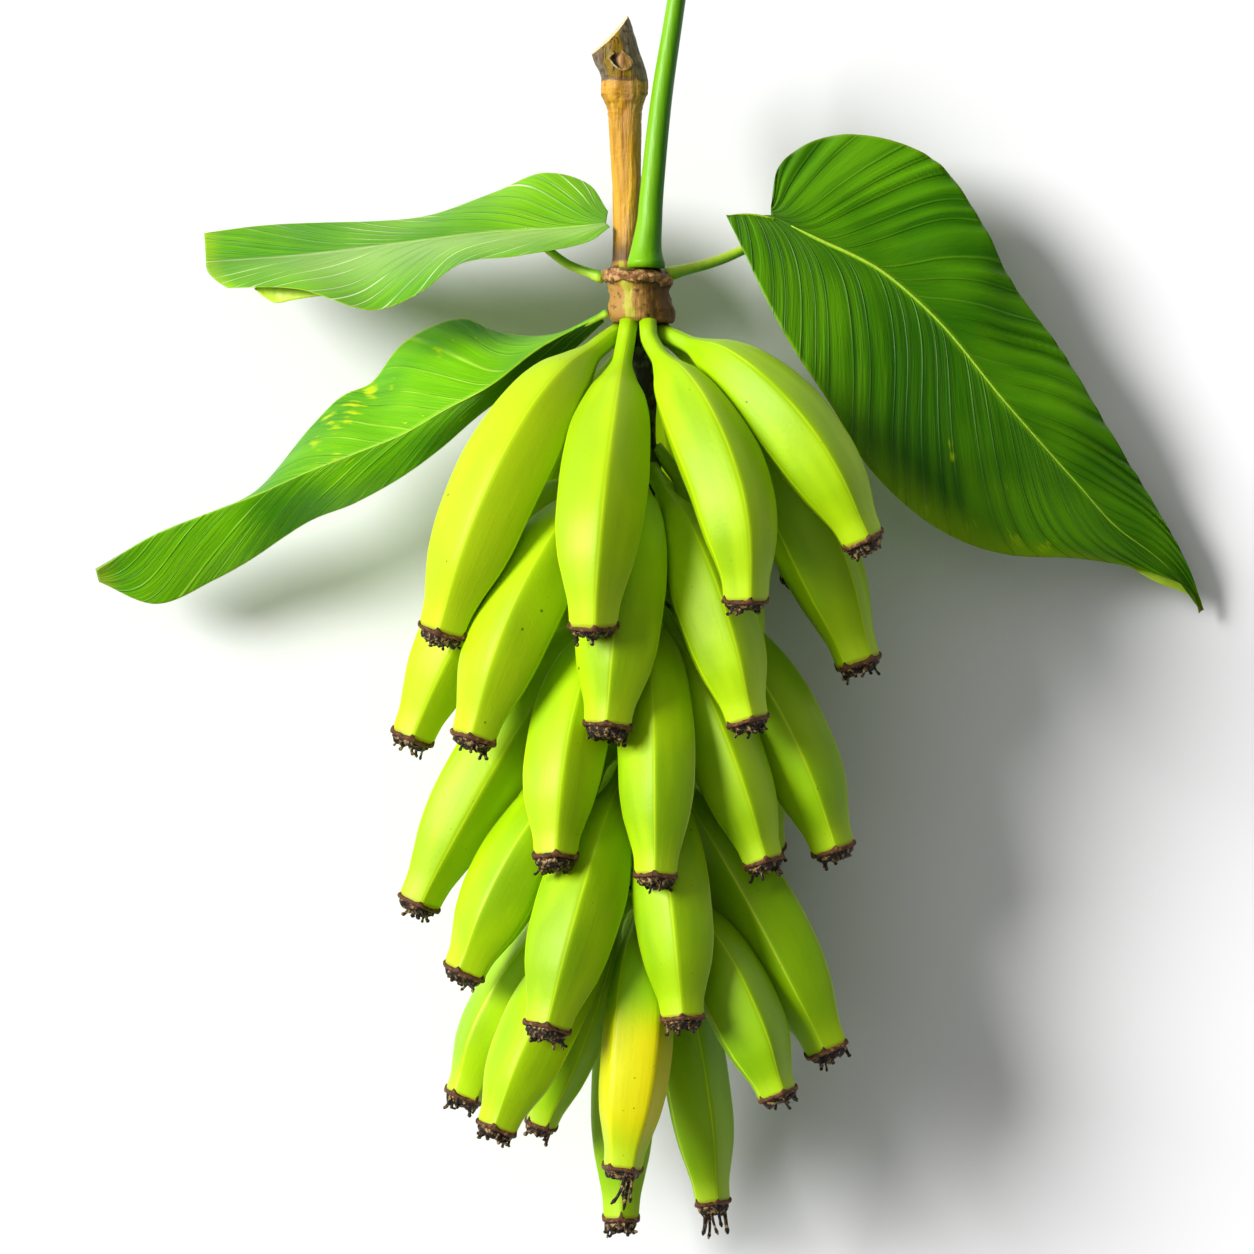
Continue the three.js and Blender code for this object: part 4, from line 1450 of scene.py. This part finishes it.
@dataclass
class Studio:
    """The pale floor, the soft lights and the camera straight above.

    Each light has its name, the side that it comes from, its strength and its width in degrees.
    """

    floor_size: float = 9.0
    floor_colour: Colour = (0.8, 0.8, 0.8)
    surroundings: float = 0.17
    lights: tuple[tuple[str, Point, float, float], ...] = (
        ("key_light", (-1.7, 0.65, 1.35), 5.2, 26.0),
        ("top_light", (-0.4, 0.3, 1.4), 0.5, 60.0),
    )

    def build(self) -> None:
        """Builds the floor, the lights, the surroundings and the camera."""
        self.build_floor()
        for name, side, power, spread in self.lights:
            data = bpy.data.lights.new(name, "SUN")
            data.angle = math.radians(spread)
            data.energy = power
            light = add_object(name, data)
            light.location = side
            light.rotation_euler = (-Vector(side)).to_track_quat("-Z", "Y").to_euler()
        world = bpy.data.worlds.new("soft_surroundings")
        world.use_nodes = True
        world.node_tree.nodes["Background"].inputs[0].default_value = (1, 1, 1, 1)
        world.node_tree.nodes["Background"].inputs[1].default_value = self.surroundings
        bpy.context.scene.world = world
        bpy.context.scene.view_settings.view_transform = "Standard"
        self.add_camera()

    def build_floor(self) -> None:
        """Builds the surface that the bunch lies on."""
        half = self.floor_size / 2
        corners = [(x * half, y * half, 0) for x, y in ((-1, -1), (1, -1), (1, 1), (-1, 1))]
        mesh = bpy.data.meshes.new("floor")
        mesh.from_pydata(corners, [], [(0, 1, 2, 3)])
        mesh.materials.append(Shader("pale_floor").finish(Base_Color=self.floor_colour, Roughness=0.9))
        add_object("floor", mesh)

    def add_camera(self) -> None:
        """Adds the camera above the bunch, with the photograph's framing."""
        data = bpy.data.cameras.new("camera")
        data.lens = data.sensor_width * LAYOUT.eye_height / LAYOUT.seen_width
        camera = add_object("camera", data)
        camera.location = (np.array([LAYOUT.eye_x, 0, LAYOUT.eye_height]) + LAYOUT.offset()) * MM
        bpy.context.scene.camera = camera


LEAVES = (
    Leaf(
        name="leaf_upper_left",
        midrib=(
            (-18, 202, -8), (-41, 199.5, -14), (-76, 197.5, -18), (-119, 192.5, -22),
            (-171, 186, -30), (-218, 182.5, -42),
        ),
        upper=(
            (-17, 208, -20), (-27.5, 222, -38), (-50, 227, -48), (-74, 217.5, -52),
            (-104, 206.5, -52), (-133, 203, -54), (-182, 201.5, -56), (-219, 197, -56),
        ),
        lower=(
            (-16, 200, 2), (-27.5, 192.5, 12), (-62, 185.5, 18), (-90, 182, 20), (-112, 166.5, 24),
            (-135, 158.5, 22), (-172, 169, 10), (-207, 169.5, -14),
        ),
        wave=1.6,
        petiole=((-22, 175.5, -2), (-38, 182, -9), (-58, 198.5, -16.5)),
        petiole_radius=2.4,
        rib_from=0.02,
        rib_radius=0.45,
        fold_width=10.0,
        slant=0.46,
        vein_bend=0.62,
        tip_bulge=3.5,
        stalk_drop=2.0,
        folds=(
            ((-194, 169, -7), (-188.5, 164.6, -6), (-183, 162, -5), (-175, 163.4, -3), (-165, 165, 0),
             (-154, 166, 4)),
        ),
        finish=LeafFinish(
            "upper_left_blade", paint(66, 138, 0), paint(116, 178, 4), paint(214, 232, 164),
            paint(178, 208, 10), veins=15, patches=0.2, painted_sheen_lower=0.42, vein_show=1.0,
        ),
    ),
    Leaf(
        name="leaf_lower_left",
        midrib=(
            (-20, 155.5, 3), (-50, 140.5, 10), (-76.5, 120.5, 22), (-98, 109, 16),
            (-119.5, 96.5, 4), (-139, 88.5, -4), (-166, 78, -14), (-193, 66, -24), (-214, 58, -32),
            (-246, 45, -42), (-273, 28, -52),
        ),
        upper=(
            (-19, 158, 0), (-44.5, 146.5, -10), (-71.5, 147.5, -22), (-91, 154.5, -30),
            (-119, 142.5, -36), (-133, 124.5, -38), (-137, 121, -38), (-150, 115.5, -40),
            (-165, 101, -42), (-192, 69, -46), (-211, 58.5, -50), (-245, 45, -56), (-273.5, 29, -58),
        ),
        lower=(
            (-19, 152.5, 0), (-41, 133, -2), (-60.5, 120.5, 2), (-80.5, 106.5, 8),
            (-101.5, 88.5, 0), (-121.5, 74, -14), (-144.5, 61.5, -26), (-166, 53, -38),
            (-196.5, 33, -50), (-214, 23.5, -56), (-243, 11.5, -62), (-271.5, 22.5, -60),
        ),
        wave=1.4,
        petiole=((-18.6, 156.5, 2), (-26, 152.5, 3), (-36, 147.5, 5.6)),
        petiole_radius=2.2,
        rib_from=0.05,
        rib_radius=0.6,
        stalk_scale=0.75,
        spots=(
            (-137, 119, 7), (-127, 121, 5), (-146, 111, 11), (-157, 102, 8), (-102, 137, 5),
            (-152, 86, 7), (-165, 93, 6),
        ),
        finish=LeafFinish(
            "lower_left_blade", paint(58, 132, 0), paint(112, 178, 0), paint(170, 214, 60),
            paint(196, 208, 0), veins=18, patches=0.3, painted_shade_at_base=0.85,
        ),
    ),
    Leaf(
        name="leaf_right",
        midrib=(
            (64.5, 206, -19), (87, 194, -22), (103.5, 186.5, -24), (120, 177.5, -26),
            (148.5, 152.5, -30), (181.5, 112.5, -38), (219.5, 69.5, -52), (236, 51, -60),
            (261, 31.5, -72), (279.5, 8, -84),
        ),
        upper=(
            (64.5, 211, -28), (69.5, 232, -40), (92, 245, -46), (122, 244, -46), (148.5, 232, -44),
            (170, 202, -44), (185, 172.5, -46), (209.5, 139, -50), (233, 99.5, -58), (256, 62, -68),
            (272.5, 31.5, -78), (281, 8.5, -85),
        ),
        lower=(
            (42, 206, -11), (52, 185.5, -2), (62, 164, 2), (73.5, 142.5, 0), (95.5, 109.5, -6),
            (113.5, 79.5, -14), (145, 51, -28), (178, 37, -40), (219.5, 34, -54), (248, 29, -68),
            (274.5, 18, -80), (278.5, 6.8, -86),
        ),
        wave=1.8,
        petiole=((15.2, 177, -2), (40, 184, -14), (74, 200.5, -22.5)),
        petiole_radius=2.8,
        rib_from=0.04,
        rib_radius=1.1,
        corrugation=1.1,
        pleats=(1.5, 0.35),
        fold_width=5.0,
        slant=0.28,
        vein_bend=0.8,
        spots=(
            (156, 93, 5), (157, 86, 4), (128, 66, 6), (141, 57, 8), (168, 51, 7), (190, 44, 8),
            (206, 40, 7), (183, 71, 5),
        ),
        folds=(
            ((66, 204.5, -17.4), (58, 206.4, -15), (50, 206.8, -12.4), (43, 205.8, -10)),
            ((244, 30.2, -70), (252, 25.2, -72), (260, 21.2, -75), (268, 18.4, -79), (275, 15, -82),
             (279.5, 10, -85.4)),
        ),
        finish=LeafFinish(
            "right_blade", paint(42, 98, 0), paint(84, 142, 0), paint(128, 186, 30),
            paint(166, 196, 0), veins=23, patches=0.24, edge=0.3, vein_show=0.28, glow=1.0,
            thread_show=0.16, painted_pleat_shade=0.8,
        ),
    ),
)


def main() -> None:
    """Builds the bunch piece by piece."""
    logging.basicConfig(level=logging.INFO, format="%(name)s %(message)s")
    Studio().build()
    Stalk().build()
    LeafStem().build()
    for leaf in LEAVES:
        leaf.build()
    Bunch().build()
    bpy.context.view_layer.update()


if __name__ == "__main__":
    main()
